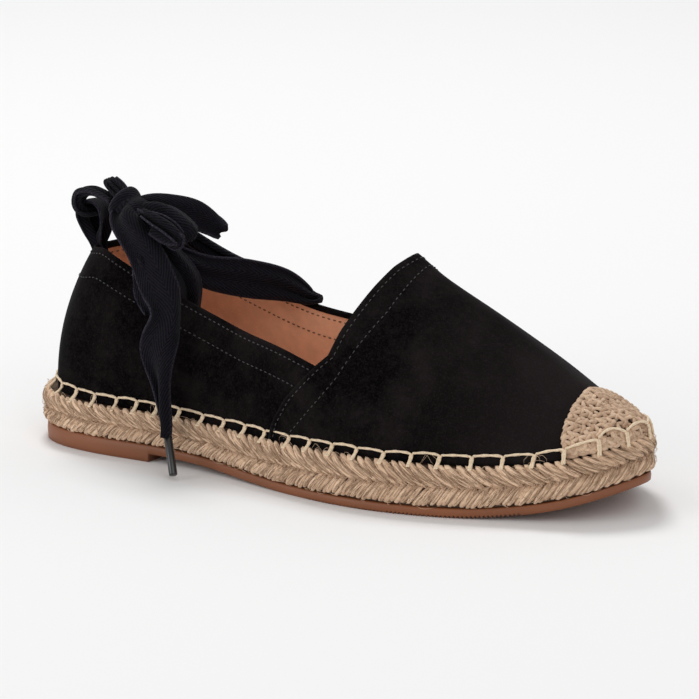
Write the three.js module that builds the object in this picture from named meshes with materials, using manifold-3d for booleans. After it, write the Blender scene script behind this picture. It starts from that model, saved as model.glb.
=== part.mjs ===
// Espadrille for the right foot, EU size 39, with an ankle tie.
// Millimetres, +Z up, toe towards +X, inner side of the foot towards +Y.
// The sole lies on z = 0 and the origin is under the middle of the sole.
import * as THREE from 'three';
import { mergeVertices } from 'three/addons/utils/BufferGeometryUtils.js';
import Module from 'manifold-3d';

const wasm = await Module();
wasm.setup();

// ---- driving dimensions ----------------------------------------------------

const GAP = 0.3;                  // clearance between pieces that touch

const HEEL_END = { x: -1.6, y: 0 };  // plan of the rubber sole: its two ends
const TOE_TIP = { x: 258.2, y: 3 };
const SOLE_PLAN = [               // its half widths, the jute band's height, the upper's foot inside its edge
  { x: 5.5, outer: 22, inner: 21.5, jute: 12.8, inset: 4.2 },
  { x: 16, outer: 29.8, inner: 29.4, jute: 12.2, inset: 4 },
  { x: 34, outer: 33.4, inner: 33.3, jute: 11.8, inset: 3.3 },
  { x: 61, outer: 33.4, inner: 31.6, jute: 11.8, inset: 2.8 },
  { x: 89, outer: 34.5, inner: 28.5, jute: 12.4, inset: 2.8 },
  { x: 109, outer: 38.3, inner: 28.5, jute: 13.3, inset: 2.8 },
  { x: 131, outer: 42.8, inner: 32.2, jute: 14.5, inset: 2.8 },
  { x: 153, outer: 45.7, inner: 38.5, jute: 15.2, inset: 2.8 },
  { x: 176, outer: 44.7, inner: 43.5, jute: 15.4, inset: 2.8 },
  { x: 199, outer: 39.1, inner: 45, jute: 15.2, inset: 2.8 },
  { x: 221, outer: 30.6, inner: 41.4, jute: 14.6, inset: 2.8 },
  { x: 239, outer: 23, inner: 32.5, jute: 13.8, inset: 2.8 },
  { x: 250.5, outer: 12.8, inner: 19, jute: 13.2, inset: 2.8 },
];

const RUBBER = 3.5;               // thickness of the rubber sole
const HEEL_LIFT = 3.2;            // extra rubber under the heel
const BREAST_X = 61;              // front face of the heel lift
const BREAST_SLOPE = 0.6;         // how far that face leans forward
const ARCH_END_X = 135;           // where the sole meets the floor again
const SPRING_START_X = 190;       // where it leaves the floor towards the toe
const SPRING_POWER = 2.3;         // how late it rises
const TOE_SPRING = 12;            // height of the sole's toe tip

const JUTE_ROUNDING = 0.6;        // how far its upper and lower edges stand back
const JUTE_BULGE = 1.2;           // how far it stands out over the rubber
const JUTE_BELLY = { from: 0.25, to: 0.7 };  // shares of its height between which it stands out
const INSOLE = 2.4;

const WALL = 1.8;                 // suede and lining together
const SKIRT = 8;                  // how far a form that hollows another one reaches below it
const HEEL_DOME_X = 45;           // where the heel's rounding ends
const HEEL_DOME_POWER = 2;
const TOE_DOME_X = 246;           // where the toe's rounding starts
const TOE_DOME_POWER = 2.3;
const UPPER_SECTIONS = [          // crest: its height; ridge: how far across; tent: its pointed share
  { x: 45, crest: 94, ridge: 0.5, tent: 0.25, power: 2.4 },
  { x: 80, crest: 103, ridge: 0.53, tent: 0.35, power: 2.4 },
  { x: 101, crest: 101, ridge: 0.56, tent: 0.35, power: 2.4 },
  { x: 124, crest: 98, ridge: 0.59, tent: 0.35, power: 2.4 },
  { x: 156, crest: 85.3, ridge: 0.6, tent: 0.35, power: 2.3 },
  { x: 187, crest: 68.6, ridge: 0.56, tent: 0.3, power: 2.2 },
  { x: 210, crest: 55.4, ridge: 0.53, tent: 0.25, power: 2.1 },
  { x: 232, crest: 41.8, ridge: 0.51, tent: 0.2, power: 2 },
  { x: 245, crest: 36, ridge: 0.5, tent: 0.15, power: 2 },
];

const TOPLINE = [                 // side view of the collar's edge, heel to throat corner
  { x: -12, z: 73 },
  { x: 13, z: 73.8 },
  { x: 21, z: 75 },
  { x: 29, z: 76.3 },
  { x: 39, z: 74.2 },
  { x: 50, z: 70.7 },
  { x: 80, z: 61.9 },
  { x: 101, z: 56.6 },
  { x: 124, z: 52.8 },
  { x: 141, z: 48.8 },
];
const THROAT = [                  // the vamp's edge, from that corner up to its peak
  { x: 145.5, z: 53 },
  { x: 147.5, z: 61 },
  { x: 150.5, z: 69 },
  { x: 153, z: 76 },
  { x: 155, z: 82 },
  { x: 156, z: 94 },
];
const CUT_TOP = 130;              // the collar cut reaches this high
const CUT_HALF_WIDTH = 70;

const CAP_THICKNESS = 2.8;
const CAP_EDGE = [                // side view of the toe cap's back edge, top to bottom
  { x: 231, z: 60 },
  { x: 233.5, z: 45 },
  { x: 236.5, z: 38 },
  { x: 237.5, z: 29 },
  { x: 238, z: 0 },
];
const CAP_FRONT_X = 280;          // the cut that shapes it is open in front
const CAP_CLEARANCE = 1.1;        // its hem's height over the jute

const LOOP_LINE = [               // side view of the heel loop's band, outer foot to inner foot
  [12.6, 69.8], [14.3, 74.2], [12.2, 79.5], [9.8, 85], [10.8, 89.6], [15.3, 91.2],
  [20.2, 89.4], [22, 84.5], [22, 79.5], [22.2, 75], [20.9, 71], [18.4, 66.5],
];
const LOOP_BAND = 1.2;            // thickness of its band
const LOOP_WIDTH = 10;
const LOOP_STEPS = 36;

const TAPE = { width: 15, thickness: 1.6 };
const KNOT = { x: 44.5, y: -19.5, z: 94, long: 6.5, wide: 5.5, high: 5.5 };
const AGLET_RADIUS = 1.7;

// Routes of the tape: points on its middle line, the way its face looks (fx, fy, fz), and the
// share of its full width that it has there, because it bunches up where it is pulled together.
const STRAP_ROUTE = [             // knot, near side, bend on the far topline, heel loop, arch, knot
  { x: 56, y: -18, z: 83.5, fx: 0.6, fy: -0.8, fz: 0.3, share: 0.4 },
  { x: 64, y: -15, z: 76.5, fx: 0.5, fy: -0.8, fz: 0.3, share: 0.6 },
  { x: 72.5, y: -9.5, z: 71.5, fx: 0.55, fy: -0.8, fz: 0.15, share: 0.8 },
  { x: 84.6, y: 1, z: 68.3, fx: 0.6, fy: -0.8, fz: 0.1, share: 0.95 },
  { x: 94.5, y: 11.2, z: 64.9, fx: 0.6, fy: -0.75, fz: 0.15, share: 0.8 },
  { x: 100.5, y: 18.4, z: 60.2, fx: 0.5, fy: -0.5, fz: 0.7, share: 0.42 },
  { x: 101, y: 22.6, z: 59.4, fx: 0.2, fy: 0.4, fz: 0.9, share: 0.32 },
  { x: 95, y: 22, z: 61.2, fx: 0, fy: 0.8, fz: 0.6, share: 0.32 },
  { x: 85, y: 16, z: 65.5, fx: -0.4, fy: 0.8, fz: 0.4, share: 0.45 },
  { x: 74.5, y: 8.5, z: 70.5, fx: -0.4, fy: 0.8, fz: 0.3, share: 0.5 },
  { x: 64, y: 2, z: 77.5, fx: -0.4, fy: 0.8, fz: 0.3, share: 0.5 },
  { x: 55, y: -4.5, z: 86, fx: -0.4, fy: 0.8, fz: 0.4, share: 0.4 },
  { x: 46, y: -6.5, z: 90.5, fx: -0.1, fy: 0.7, fz: 0.7, share: 0.4 },
  { x: 35, y: 1, z: 91, fx: 0, fy: 0.3, fz: 0.95, share: 0.4 },
  { x: 26, y: 8.7, z: 89, fx: 0, fy: 0, fz: 1, share: 0.36 },
  { x: 18.3, y: 8.5, z: 87.5, fx: 0, fy: 0, fz: 1, share: 0.32 },
  { x: 15.6, y: 1.5, z: 87, fx: 0, fy: 0, fz: 1, share: 0.3 },
  { x: 13.8, y: -6.5, z: 87.6, fx: 0.3, fy: 0, fz: 0.9, share: 0.34 },
  { x: 12.8, y: -10, z: 91.2, fx: 0.9, fy: 0.2, fz: 0.1, share: 0.4 },
  { x: 15.6, y: -10.8, z: 95.2, fx: 0.6, fy: 0, fz: -0.8, share: 0.42 },
  { x: 22, y: -12.2, z: 97.1, fx: 0, fy: 0, fz: -1, share: 0.42 },
  { x: 29.5, y: -14.8, z: 96.9, fx: -0.1, fy: 0, fz: -1, share: 0.4 },
  { x: 36.6, y: -17.5, z: 95.5, fx: -0.1, fy: 0, fz: -1, share: 0.35 },
];
const TAIL_FRONT_ROUTE = [
  { x: 50, y: -28.6, z: 89.6, fx: 0.3, fy: -0.9, fz: 0.3, share: 0.8 },
  { x: 58.6, y: -30.2, z: 81.5, fx: 0.3, fy: -0.9, fz: 0.4, share: 1 },
  { x: 66.2, y: -32.2, z: 71.2, fx: 0.3, fy: -0.9, fz: 0.4, share: 1 },
  { x: 73, y: -36.5, z: 60.5, fx: 0.9, fy: -0.5, fz: 0, share: 0.8 },
  { x: 70.6, y: -38.5, z: 46, fx: 0.3, fy: -0.95, fz: 0, share: 0.95 },
  { x: 72.5, y: -39.5, z: 33, fx: 0.1, fy: -1, fz: 0, share: 0.5 },
  { x: 76.4, y: -41.8, z: 17, fx: 0, fy: -1, fz: -0.3, share: 0.2 },
];
const TAIL_BACK_ROUTE = [         // it drops inside the shoe
  { x: 58.5, y: -22, z: 85.5, fx: 0.6, fy: -0.7, fz: 0.4, share: 0.35 },
  { x: 66, y: -21.5, z: 78.5, fx: 0.6, fy: -0.7, fz: 0.3, share: 0.45 },
  { x: 71.5, y: -18.5, z: 69, fx: 0.9, fy: -0.5, fz: 0.1, share: 0.45 },
  { x: 71, y: -17, z: 58, fx: 0.7, fy: -0.7, fz: 0, share: 0.45 },
  { x: 67.5, y: -16, z: 46, fx: 0.6, fy: -0.7, fz: 0, share: 0.45 },
  { x: 63.5, y: -14, z: 35, fx: 0.4, fy: -0.8, fz: 0.3, share: 0.4 },
  { x: 60.5, y: -10.5, z: 27.5, fx: 0.3, fy: -0.5, fz: 0.8, share: 0.25 },
];
const LOOP_NEAR_ROUTE = [
  { x: 52, y: -22.5, z: 97, fx: 0.1, fy: -0.4, fz: 0.9, share: 0.4 },
  { x: 60, y: -24, z: 97.3, fx: 0.3, fy: -0.5, fz: 0.8, share: 0.7 },
  { x: 69, y: -24.5, z: 94, fx: 0.5, fy: -0.4, fz: 0.8, share: 0.8 },
  { x: 76.5, y: -24.5, z: 89, fx: 0.9, fy: -0.2, fz: 0.1, share: 0.7 },
  { x: 72, y: -24, z: 86, fx: 0.2, fy: 0.3, fz: -0.9, share: 0.6 },
  { x: 62, y: -23, z: 89.5, fx: -0.2, fy: 0.3, fz: -0.9, share: 0.5 },
  { x: 53.5, y: -21.5, z: 91, fx: -0.1, fy: 0.3, fz: -0.9, share: 0.3 },
];
const LOOP_FAR_ROUTE = [
  { x: 51.5, y: -15, z: 96, fx: 0, fy: 0.5, fz: 0.9, share: 0.35 },
  { x: 59, y: -9, z: 96.2, fx: 0.1, fy: 0.5, fz: 0.85, share: 0.5 },
  { x: 68, y: -3, z: 93.2, fx: 0.6, fy: 0.3, fz: 0.7, share: 0.55 },
  { x: 73.5, y: 0.5, z: 86.5, fx: 0.9, fy: 0.3, fz: 0, share: 0.5 },
  { x: 70, y: -2.5, z: 84.8, fx: -0.4, fy: -0.2, fz: -0.9, share: 0.4 },
  { x: 63, y: -7.5, z: 89.3, fx: -0.5, fy: -0.3, fz: -0.8, share: 0.35 },
  { x: 53, y: -13.5, z: 91.6, fx: -0.2, fy: -0.3, fz: -0.9, share: 0.3 },
];
const EAR_ROUTE = [
  { x: 40, y: -18, z: 100, fx: -0.3, fy: -0.5, fz: 0.8, share: 0.3 },
  { x: 36.8, y: -16.5, z: 101.4, fx: -0.3, fy: -0.5, fz: 0.8, share: 0.35 },
  { x: 33, y: -15, z: 102.6, fx: -0.3, fy: -0.5, fz: 0.8, share: 0.25 },
];
const AGLET_FRONT = { from: [76.9, -42.1, 15.4], to: [84.2, -49, 1.9] };
const AGLET_BACK = { from: [60, -9.5, 26.4], to: [54, 6, 24] };
const TAPE_STEP = 3.2;            // length of one step along a route

const STATIONS = 40;              // sections along the shoe
const ARCH_STEPS = 26;            // points over an arched section
const KNOT_SIDES = 14;
const KNOT_RINGS = 10;
const AGLET_SIDES = 12;
const HALVINGS = 30;              // steps of the search for a station's place on the outline
const SAME_POINT = 1e-4;          // corners closer than this are one corner

// ---- small helpers ---------------------------------------------------------

// A column of a table of stations, as a smooth function of x.
function valueAt(table, column, x) {
  if (x <= table[0].x) return table[0][column];
  const last = table.length - 1;
  if (x >= table[last].x) return table[last][column];
  let row = 0;
  while (table[row + 1].x < x) row += 1;
  const slope = (i) => {
    const before = table[Math.max(i - 1, 0)];
    const after = table[Math.min(i + 1, last)];
    return (after[column] - before[column]) / (after.x - before.x);
  };
  const a = table[row];
  const b = table[row + 1];
  const span = b.x - a.x;
  const t = (x - a.x) / span;
  const blend = t * t * (3 - 2 * t);
  const rise = slope(row) * span * t * (1 - t) * (1 - t);
  const fall = slope(row + 1) * span * t * t * (t - 1);
  return a[column] + (b[column] - a[column]) * blend + rise + fall;
}

// Stations from end to end, close together at both ends.
function stationsBetween(start, end, count) {
  const list = [];
  for (let i = 0; i <= count; i += 1) {
    list.push(start + (end - start) * 0.5 * (1 - Math.cos(Math.PI * i / count)));
  }
  return list;
}

// A closed body from points and triangles, facing out, without the triangles that shrink to a line.
function closedGeometry(points, triangles) {
  const geometry = new THREE.BufferGeometry();
  geometry.setAttribute('position', new THREE.Float32BufferAttribute(points.flatMap((p) => p.toArray()), 3));
  geometry.setIndex(triangles.flat());
  const merged = mergeVertices(geometry, SAME_POINT);
  const corners = Array.from(merged.index.array);
  const kept = [];
  for (let i = 0; i < corners.length; i += 3) {
    const [a, b, c] = corners.slice(i, i + 3);
    if (a !== b && b !== c && c !== a) kept.push([a, b, c]);
  }
  const at = (i) => new THREE.Vector3().fromBufferAttribute(merged.attributes.position, i);
  const volume = kept.reduce((sum, [a, b, c]) => sum + at(a).cross(at(b)).dot(at(c)), 0);
  const outward = volume > 0 ? kept : kept.map(([a, b, c]) => [a, c, b]);
  merged.setIndex(outward.flat());
  return merged;
}

function solidOf(geometry) {
  const bare = geometry.clone();
  bare.deleteAttribute('normal');
  bare.deleteAttribute('uv');
  const merged = mergeVertices(bare, SAME_POINT);
  return new wasm.Manifold(new wasm.Mesh({
    numProp: 3,
    vertProperties: new Float32Array(merged.attributes.position.array),
    triVerts: new Uint32Array(merged.index.array),
  }));
}

function geometryOfSolid(solid) {
  const mesh = solid.getMesh();
  const geometry = new THREE.BufferGeometry();
  geometry.setAttribute('position', new THREE.BufferAttribute(mesh.vertProperties.slice(), 3));
  geometry.setIndex(new THREE.BufferAttribute(mesh.triVerts.slice(), 1));
  return geometry;
}

function finish(color, roughness) {
  return new THREE.MeshStandardMaterial({ color, roughness, metalness: 0 });
}

// A side view, closed by straight lines, made into a block across the shoe.
function blockAcross(corners) {
  const shape = new THREE.Shape(corners.map(({ x, z }) => new THREE.Vector2(x, z)));
  const block = new THREE.ExtrudeGeometry(shape, { depth: 2 * CUT_HALF_WIDTH, bevelEnabled: false });
  block.rotateX(Math.PI / 2);
  block.translate(0, CUT_HALF_WIDTH, 0);
  return solidOf(block);
}

// ---- plan of the sole ------------------------------------------------------

const soleCurve = new THREE.CatmullRomCurve3([
  new THREE.Vector3(HEEL_END.x, HEEL_END.y, 0),
  ...SOLE_PLAN.map((row) => new THREE.Vector3(row.x, -row.outer, 0)),
  new THREE.Vector3(TOE_TIP.x, TOE_TIP.y, 0),
  ...[...SOLE_PLAN].reverse().map((row) => new THREE.Vector3(row.x, row.inner, 0)),
], true, 'centripetal');

// The sole's edge at a station, on its outer side (y falls) or its inner side.
function edgeAt(x, side) {
  const toeShare = (SOLE_PLAN.length + 1) / (2 * SOLE_PLAN.length + 2);
  let near = side === 'outer' ? 0 : 1;
  let far = toeShare;
  for (let i = 0; i < HALVINGS; i += 1) {
    const middle = (near + far) / 2;
    if (soleCurve.getPoint(middle).x < x) near = middle;
    else far = middle;
  }
  return soleCurve.getPoint((near + far) / 2).setX(x);
}

const stations = [...stationsBetween(HEEL_END.x, TOE_TIP.x, STATIONS), BREAST_X, BREAST_X + BREAST_SLOPE]
  .sort((a, b) => a - b);
const inside = stations.slice(1, -1);
const ring = [
  new THREE.Vector3(HEEL_END.x, HEEL_END.y, 0),
  ...inside.map((x) => edgeAt(x, 'outer')),
  new THREE.Vector3(TOE_TIP.x, TOE_TIP.y, 0),
  ...[...inside].reverse().map((x) => edgeAt(x, 'inner')),
];
const toeIndex = inside.length + 1;
const opposite = (i) => (ring.length - i) % ring.length;

const outward = ring.map((point, i) => {
  if (i === 0) return new THREE.Vector3(-1, 0, 0);
  if (i === toeIndex) return new THREE.Vector3(1, 0, 0);
  const along = ring[(i + 1) % ring.length].clone().sub(ring[i - 1]).normalize();
  return new THREE.Vector3(along.y, -along.x, 0);
});

// The sole's outline moved outwards by an offset that may change along the shoe.
function movedRing(offset) {
  return ring.map((point, i) => point.clone().addScaledVector(outward[i], offset(point.x)));
}

// A body over the sole's outline: each layer is the outline moved out by its offset, at its height.
function layeredBody(layers) {
  const points = [];
  const triangles = [];
  const count = ring.length;
  for (const layer of layers) {
    movedRing(layer.offset).forEach((point, i) => points.push(point.setZ(layer.height(ring[i].x))));
  }
  for (let k = 0; k < layers.length - 1; k += 1) {
    for (let i = 0; i < count; i += 1) {
      const a = k * count + i;
      const b = k * count + (i + 1) % count;
      triangles.push([a, b, b + count], [a, b + count, a + count]);
    }
  }
  const top = (layers.length - 1) * count;
  for (let i = 0; i < toeIndex; i += 1) {
    const a = i;
    const b = i + 1;
    const c = opposite(i + 1);
    const d = opposite(i);
    triangles.push([a, c, b], [a, d, c]);
    triangles.push([top + a, top + b, top + c], [top + a, top + c, top + d]);
  }
  return closedGeometry(points, triangles);
}

// ---- heights along the sole ------------------------------------------------

const easeOut = (t) => 0.5 * (1 + Math.cos(Math.PI * THREE.MathUtils.clamp(t, 0, 1)));

function archLift(x) {
  return HEEL_LIFT * easeOut((x - BREAST_X) / (ARCH_END_X - BREAST_X));
}

function toeSpring(x) {
  const t = THREE.MathUtils.clamp((x - SPRING_START_X) / (TOE_TIP.x - SPRING_START_X), 0, 1);
  return TOE_SPRING * t ** SPRING_POWER;
}

function soleBottom(x) {
  return x <= BREAST_X ? 0 : archLift(x) + toeSpring(x);
}

const rubberTop = (x) => RUBBER + archLift(x) + toeSpring(x);
const juteHeight = (x) => valueAt(SOLE_PLAN, 'jute', x);
const juteTop = (x) => rubberTop(x) + GAP + juteHeight(x);

// ---- the upper's form ------------------------------------------------------

function domeShare(reach, power) {
  return (1 - THREE.MathUtils.clamp(reach, 0, 1) ** power) ** (1 / power);
}

// Height of the arch over the feather line at x.
function archHeight(x, heelX, toeX) {
  const base = juteTop(x) + GAP;
  const full = valueAt(UPPER_SECTIONS, 'crest', x) - base;
  if (x < HEEL_DOME_X) return full * domeShare((HEEL_DOME_X - x) / (HEEL_DOME_X - heelX), HEEL_DOME_POWER);
  if (x > TOE_DOME_X) return full * domeShare((x - TOE_DOME_X) / (toeX - TOE_DOME_X), TOE_DOME_POWER);
  return full;
}

// Height of a section's arch, from 1 over the ridge to 0 at the foot.
function archProfile(share, x) {
  const tent = valueAt(UPPER_SECTIONS, 'tent', x);
  const power = valueAt(UPPER_SECTIONS, 'power', x);
  return (1 - tent) * domeShare(share, power) + tent * (1 - share);
}

// Points of the closed outer form: one arch over the foot for each pair of edge points.
const foot = movedRing((x) => -valueAt(SOLE_PLAN, 'inset', x));
const arches = [];
for (let i = 0; i <= toeIndex; i += 1) {
  const outer = foot[i];
  const inner = foot[opposite(i)];
  const x = (outer.x + inner.x) / 2;
  const height = archHeight(x, foot[0].x, foot[toeIndex].x);
  const ridge = valueAt(UPPER_SECTIONS, 'ridge', x);
  const arch = [];
  for (let j = 0; j <= ARCH_STEPS; j += 1) {
    const turn = -Math.cos(Math.PI * j / ARCH_STEPS);
    const across = turn < 0 ? ridge * (1 + turn) : ridge + (1 - ridge) * turn;
    const point = outer.clone().lerp(inner, across);
    point.z = juteTop(x) + GAP + height * archProfile(Math.abs(turn), x);
    arch.push(point);
  }
  arches.push(arch);
}

function formNormal(i, j) {
  if (i === 0 || i === toeIndex) return outward[i].clone();
  if (j === 0) return outward[i].clone();
  if (j === ARCH_STEPS) return outward[opposite(i)].clone();
  const along = arches[i + 1][j].clone().sub(arches[i - 1][j]);
  const over = arches[i][j + 1].clone().sub(arches[i][j - 1]);
  return along.cross(over).normalize();
}

// The closed form grown by some distance, its underside lowered by a skirt.
function upperForm(grow, skirt) {
  const points = [];
  const triangles = [];
  const width = ARCH_STEPS + 3;
  arches.forEach((arch, i) => {
    const grown = arch.map((point, j) => point.clone().addScaledVector(formNormal(i, j), grow));
    const lowered = (point) => point.clone().setZ(point.z - skirt);
    points.push(lowered(grown[0]), ...grown, lowered(grown[ARCH_STEPS]));
  });
  for (let i = 0; i < toeIndex; i += 1) {
    for (let j = 0; j < width; j += 1) {
      const next = (j + 1) % width;
      const a = i * width + j;
      const b = i * width + next;
      triangles.push([a, a + width, b + width], [a, b + width, b]);
    }
  }
  return solidOf(closedGeometry(points, triangles));
}

// ---- pieces ----------------------------------------------------------------

function makeOutsole() {
  const flush = () => 0;
  return layeredBody([
    { offset: flush, height: soleBottom },
    { offset: flush, height: rubberTop },
  ]);
}

function makeJute() {
  const bottom = (x) => rubberTop(x) + GAP;
  const edge = () => -JUTE_ROUNDING;
  const bulge = () => JUTE_BULGE;
  return layeredBody([
    { offset: edge, height: bottom },
    { offset: bulge, height: (x) => bottom(x) + JUTE_BELLY.from * juteHeight(x) },
    { offset: bulge, height: (x) => bottom(x) + JUTE_BELLY.to * juteHeight(x) },
    { offset: edge, height: juteTop },
  ]);
}

function makeInsole() {
  const inset = (x) => -valueAt(SOLE_PLAN, 'inset', x) - WALL - GAP;
  const sheet = solidOf(layeredBody([
    { offset: inset, height: (x) => juteTop(x) + GAP },
    { offset: inset, height: (x) => juteTop(x) + GAP + INSOLE },
  ]));
  return geometryOfSolid(sheet.intersect(upperForm(-WALL - GAP, INSOLE)));
}

function makeUpper() {
  const collar = blockAcross([
    { x: TOPLINE[0].x, z: CUT_TOP },
    ...TOPLINE,
    ...THROAT,
    { x: THROAT[THROAT.length - 1].x, z: CUT_TOP },
  ]);
  const shell = upperForm(0, 0).subtract(upperForm(-WALL, SKIRT));
  return geometryOfSolid(shell.subtract(collar));
}

function makeToeCap() {
  const overlay = upperForm(GAP + CAP_THICKNESS, 0).subtract(upperForm(GAP, SKIRT));
  const region = blockAcross([
    ...CAP_EDGE,
    { x: CAP_FRONT_X, z: CAP_EDGE[CAP_EDGE.length - 1].z },
    { x: CAP_FRONT_X, z: CAP_EDGE[0].z },
  ]);
  const beyond = () => JUTE_BULGE;
  const overJute = solidOf(layeredBody([
    { offset: beyond, height: rubberTop },
    { offset: beyond, height: (x) => juteTop(x) + CAP_CLEARANCE },
  ]));
  return geometryOfSolid(overlay.intersect(region).subtract(overJute));
}

function makeHeelLoop() {
  const line = new THREE.CatmullRomCurve3(LOOP_LINE.map(([x, z]) => new THREE.Vector3(x, z, 0)));
  const side = (distance) => line.getSpacedPoints(LOOP_STEPS).map((point, i) => {
    const along = line.getTangentAt(i / LOOP_STEPS);
    return new THREE.Vector2(point.x - along.y * distance, point.y + along.x * distance);
  });
  const shape = new THREE.Shape([...side(LOOP_BAND / 2), ...side(-LOOP_BAND / 2).reverse()]);
  const band = new THREE.ExtrudeGeometry(shape, { depth: LOOP_WIDTH, bevelEnabled: false });
  band.rotateX(Math.PI / 2);
  band.translate(0, LOOP_WIDTH / 2, 0);
  return band;
}

// A route whose frames follow the way that the tape's face looks.
class TapeRoute extends THREE.CatmullRomCurve3 {
  constructor(rows) {
    super(rows.map((row) => new THREE.Vector3(row.x, row.y, row.z)), false, 'centripetal');
    this.rows = rows;
  }

  computeFrenetFrames(steps) {
    const frames = { tangents: [], normals: [], binormals: [] };
    for (let i = 0; i <= steps; i += 1) {
      const t = this.getUtoTmapping(i / steps);
      const place = t * (this.rows.length - 1);
      const row = Math.min(Math.floor(place), this.rows.length - 2);
      const a = this.rows[row];
      const b = this.rows[row + 1];
      const mix = (column) => THREE.MathUtils.lerp(a[column], b[column], place - row);
      const tangent = this.getTangent(t);
      const face = new THREE.Vector3(mix('fx'), mix('fy'), mix('fz'));
      const across = face.cross(tangent).normalize();
      frames.tangents.push(tangent);
      frames.binormals.push(tangent.clone().cross(across));
      frames.normals.push(across.multiplyScalar(mix('share')));
    }
    return frames;
  }
}

// The tape's section is a flat bar with its edges chamfered.
function makeTape(rows) {
  const half = TAPE.width / 2;
  const edge = TAPE.thickness / 2;
  const shape = new THREE.Shape([
    [-half, -edge / 2], [-half + edge, -edge], [half - edge, -edge], [half, -edge / 2],
    [half, edge / 2], [half - edge, edge], [-half + edge, edge], [-half, edge / 2],
  ].map(([x, y]) => new THREE.Vector2(x, y)));
  const route = new TapeRoute(rows);
  const steps = Math.round(route.getLength() / TAPE_STEP);
  return new THREE.ExtrudeGeometry(shape, { steps, extrudePath: route, bevelEnabled: false });
}

function makeKnot() {
  const knot = new THREE.SphereGeometry(1, KNOT_SIDES, KNOT_RINGS);
  knot.scale(KNOT.long, KNOT.wide, KNOT.high);
  knot.translate(KNOT.x, KNOT.y, KNOT.z);
  return knot;
}

function makeAglet({ from, to }) {
  const start = new THREE.Vector3(...from);
  const axis = new THREE.Vector3(...to).sub(start);
  const tip = new THREE.CylinderGeometry(AGLET_RADIUS, AGLET_RADIUS, axis.length(), AGLET_SIDES);
  const upright = new THREE.Vector3(0, 1, 0);
  const turn = new THREE.Quaternion().setFromUnitVectors(upright, axis.clone().normalize());
  tip.applyQuaternion(turn);
  const middle = start.addScaledVector(axis, 0.5);
  tip.translate(middle.x, middle.y, middle.z);
  return tip;
}

// ---- assembly --------------------------------------------------------------

const suede = () => finish(0x161414, 0.95);
const twill = () => finish(0x1c1b22, 0.9);
const plastic = () => finish(0x101012, 0.35);

const PIECES = [
  { name: 'outsole', shape: makeOutsole(), finish: finish(0xb98a5e, 0.5) },
  { name: 'jute_midsole', shape: makeJute(), finish: finish(0xc8aa8c, 0.95) },
  { name: 'insole', shape: makeInsole(), finish: finish(0xbe8264, 0.6) },
  { name: 'upper', shape: makeUpper(), finish: suede() },
  { name: 'toe_cap', shape: makeToeCap(), finish: finish(0xccb08f, 0.95) },
  { name: 'heel_loop', shape: makeHeelLoop(), finish: twill() },
  { name: 'tie_strap', shape: makeTape(STRAP_ROUTE), finish: twill() },
  { name: 'tie_knot', shape: makeKnot(), finish: twill() },
  { name: 'tie_loop_near', shape: makeTape(LOOP_NEAR_ROUTE), finish: twill() },
  { name: 'tie_loop_far', shape: makeTape(LOOP_FAR_ROUTE), finish: twill() },
  { name: 'tie_ear', shape: makeTape(EAR_ROUTE), finish: twill() },
  { name: 'tie_tail_front', shape: makeTape(TAIL_FRONT_ROUTE), finish: twill() },
  { name: 'tie_tail_back', shape: makeTape(TAIL_BACK_ROUTE), finish: twill() },
  { name: 'aglet_front', shape: makeAglet(AGLET_FRONT), finish: plastic() },
  { name: 'aglet_back', shape: makeAglet(AGLET_BACK), finish: plastic() },
];

// The jute band is the widest piece, so its middle is put over the origin.
const middle = new THREE.Box3().setFromBufferAttribute(PIECES[1].shape.attributes.position)
  .getCenter(new THREE.Vector3());

const shoe = new THREE.Group();
for (const piece of PIECES) {
  const mesh = new THREE.Mesh(piece.shape, piece.finish);
  mesh.name = piece.name;
  mesh.position.set(-middle.x, -middle.y, 0);
  shoe.add(mesh);
}

export default shoe;
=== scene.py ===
"""Looks of a flat espadrille for the right foot, with a bow of twill tape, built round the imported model.

Metres, +Z up, toe towards +X, inner side of the foot towards +Y. Tables give places along the shoe from
the heel, and `settled` moves them to the frame's origin, which is under the middle of the sole.
"""
import math
import random

import bmesh
import bpy
import numpy as np
from mathutils import Matrix, Vector


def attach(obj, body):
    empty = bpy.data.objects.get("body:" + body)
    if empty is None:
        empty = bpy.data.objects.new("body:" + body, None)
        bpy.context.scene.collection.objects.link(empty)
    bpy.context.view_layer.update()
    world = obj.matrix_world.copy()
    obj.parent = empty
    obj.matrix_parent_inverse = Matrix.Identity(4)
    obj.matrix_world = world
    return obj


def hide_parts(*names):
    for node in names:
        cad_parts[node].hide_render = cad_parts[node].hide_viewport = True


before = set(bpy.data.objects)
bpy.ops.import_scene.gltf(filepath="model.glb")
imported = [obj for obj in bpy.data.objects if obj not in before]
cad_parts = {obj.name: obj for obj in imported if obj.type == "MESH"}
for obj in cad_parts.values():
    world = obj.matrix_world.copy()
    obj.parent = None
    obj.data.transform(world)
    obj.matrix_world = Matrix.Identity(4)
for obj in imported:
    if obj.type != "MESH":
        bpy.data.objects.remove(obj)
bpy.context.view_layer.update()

bl_info = {
    "name": "Espadrille with an ankle tie",
    "version": (1, 0, 0),
    "blender": (4, 5, 0),
    "location": "3D View > Sidebar > Espadrille",
    "description": "Builds the jute, suede, crochet and twill of an espadrille round its packed solids",
    "category": "Object",
}

SEED = 11
GAP = 0.0003                      # clearance between pieces that touch
CENTRE = np.array((0.1283, -0.00035, 0.0))   # the frame's origin, measured from the heel

# ---- the sole and the last ---------------------------------------------------------------

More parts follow.
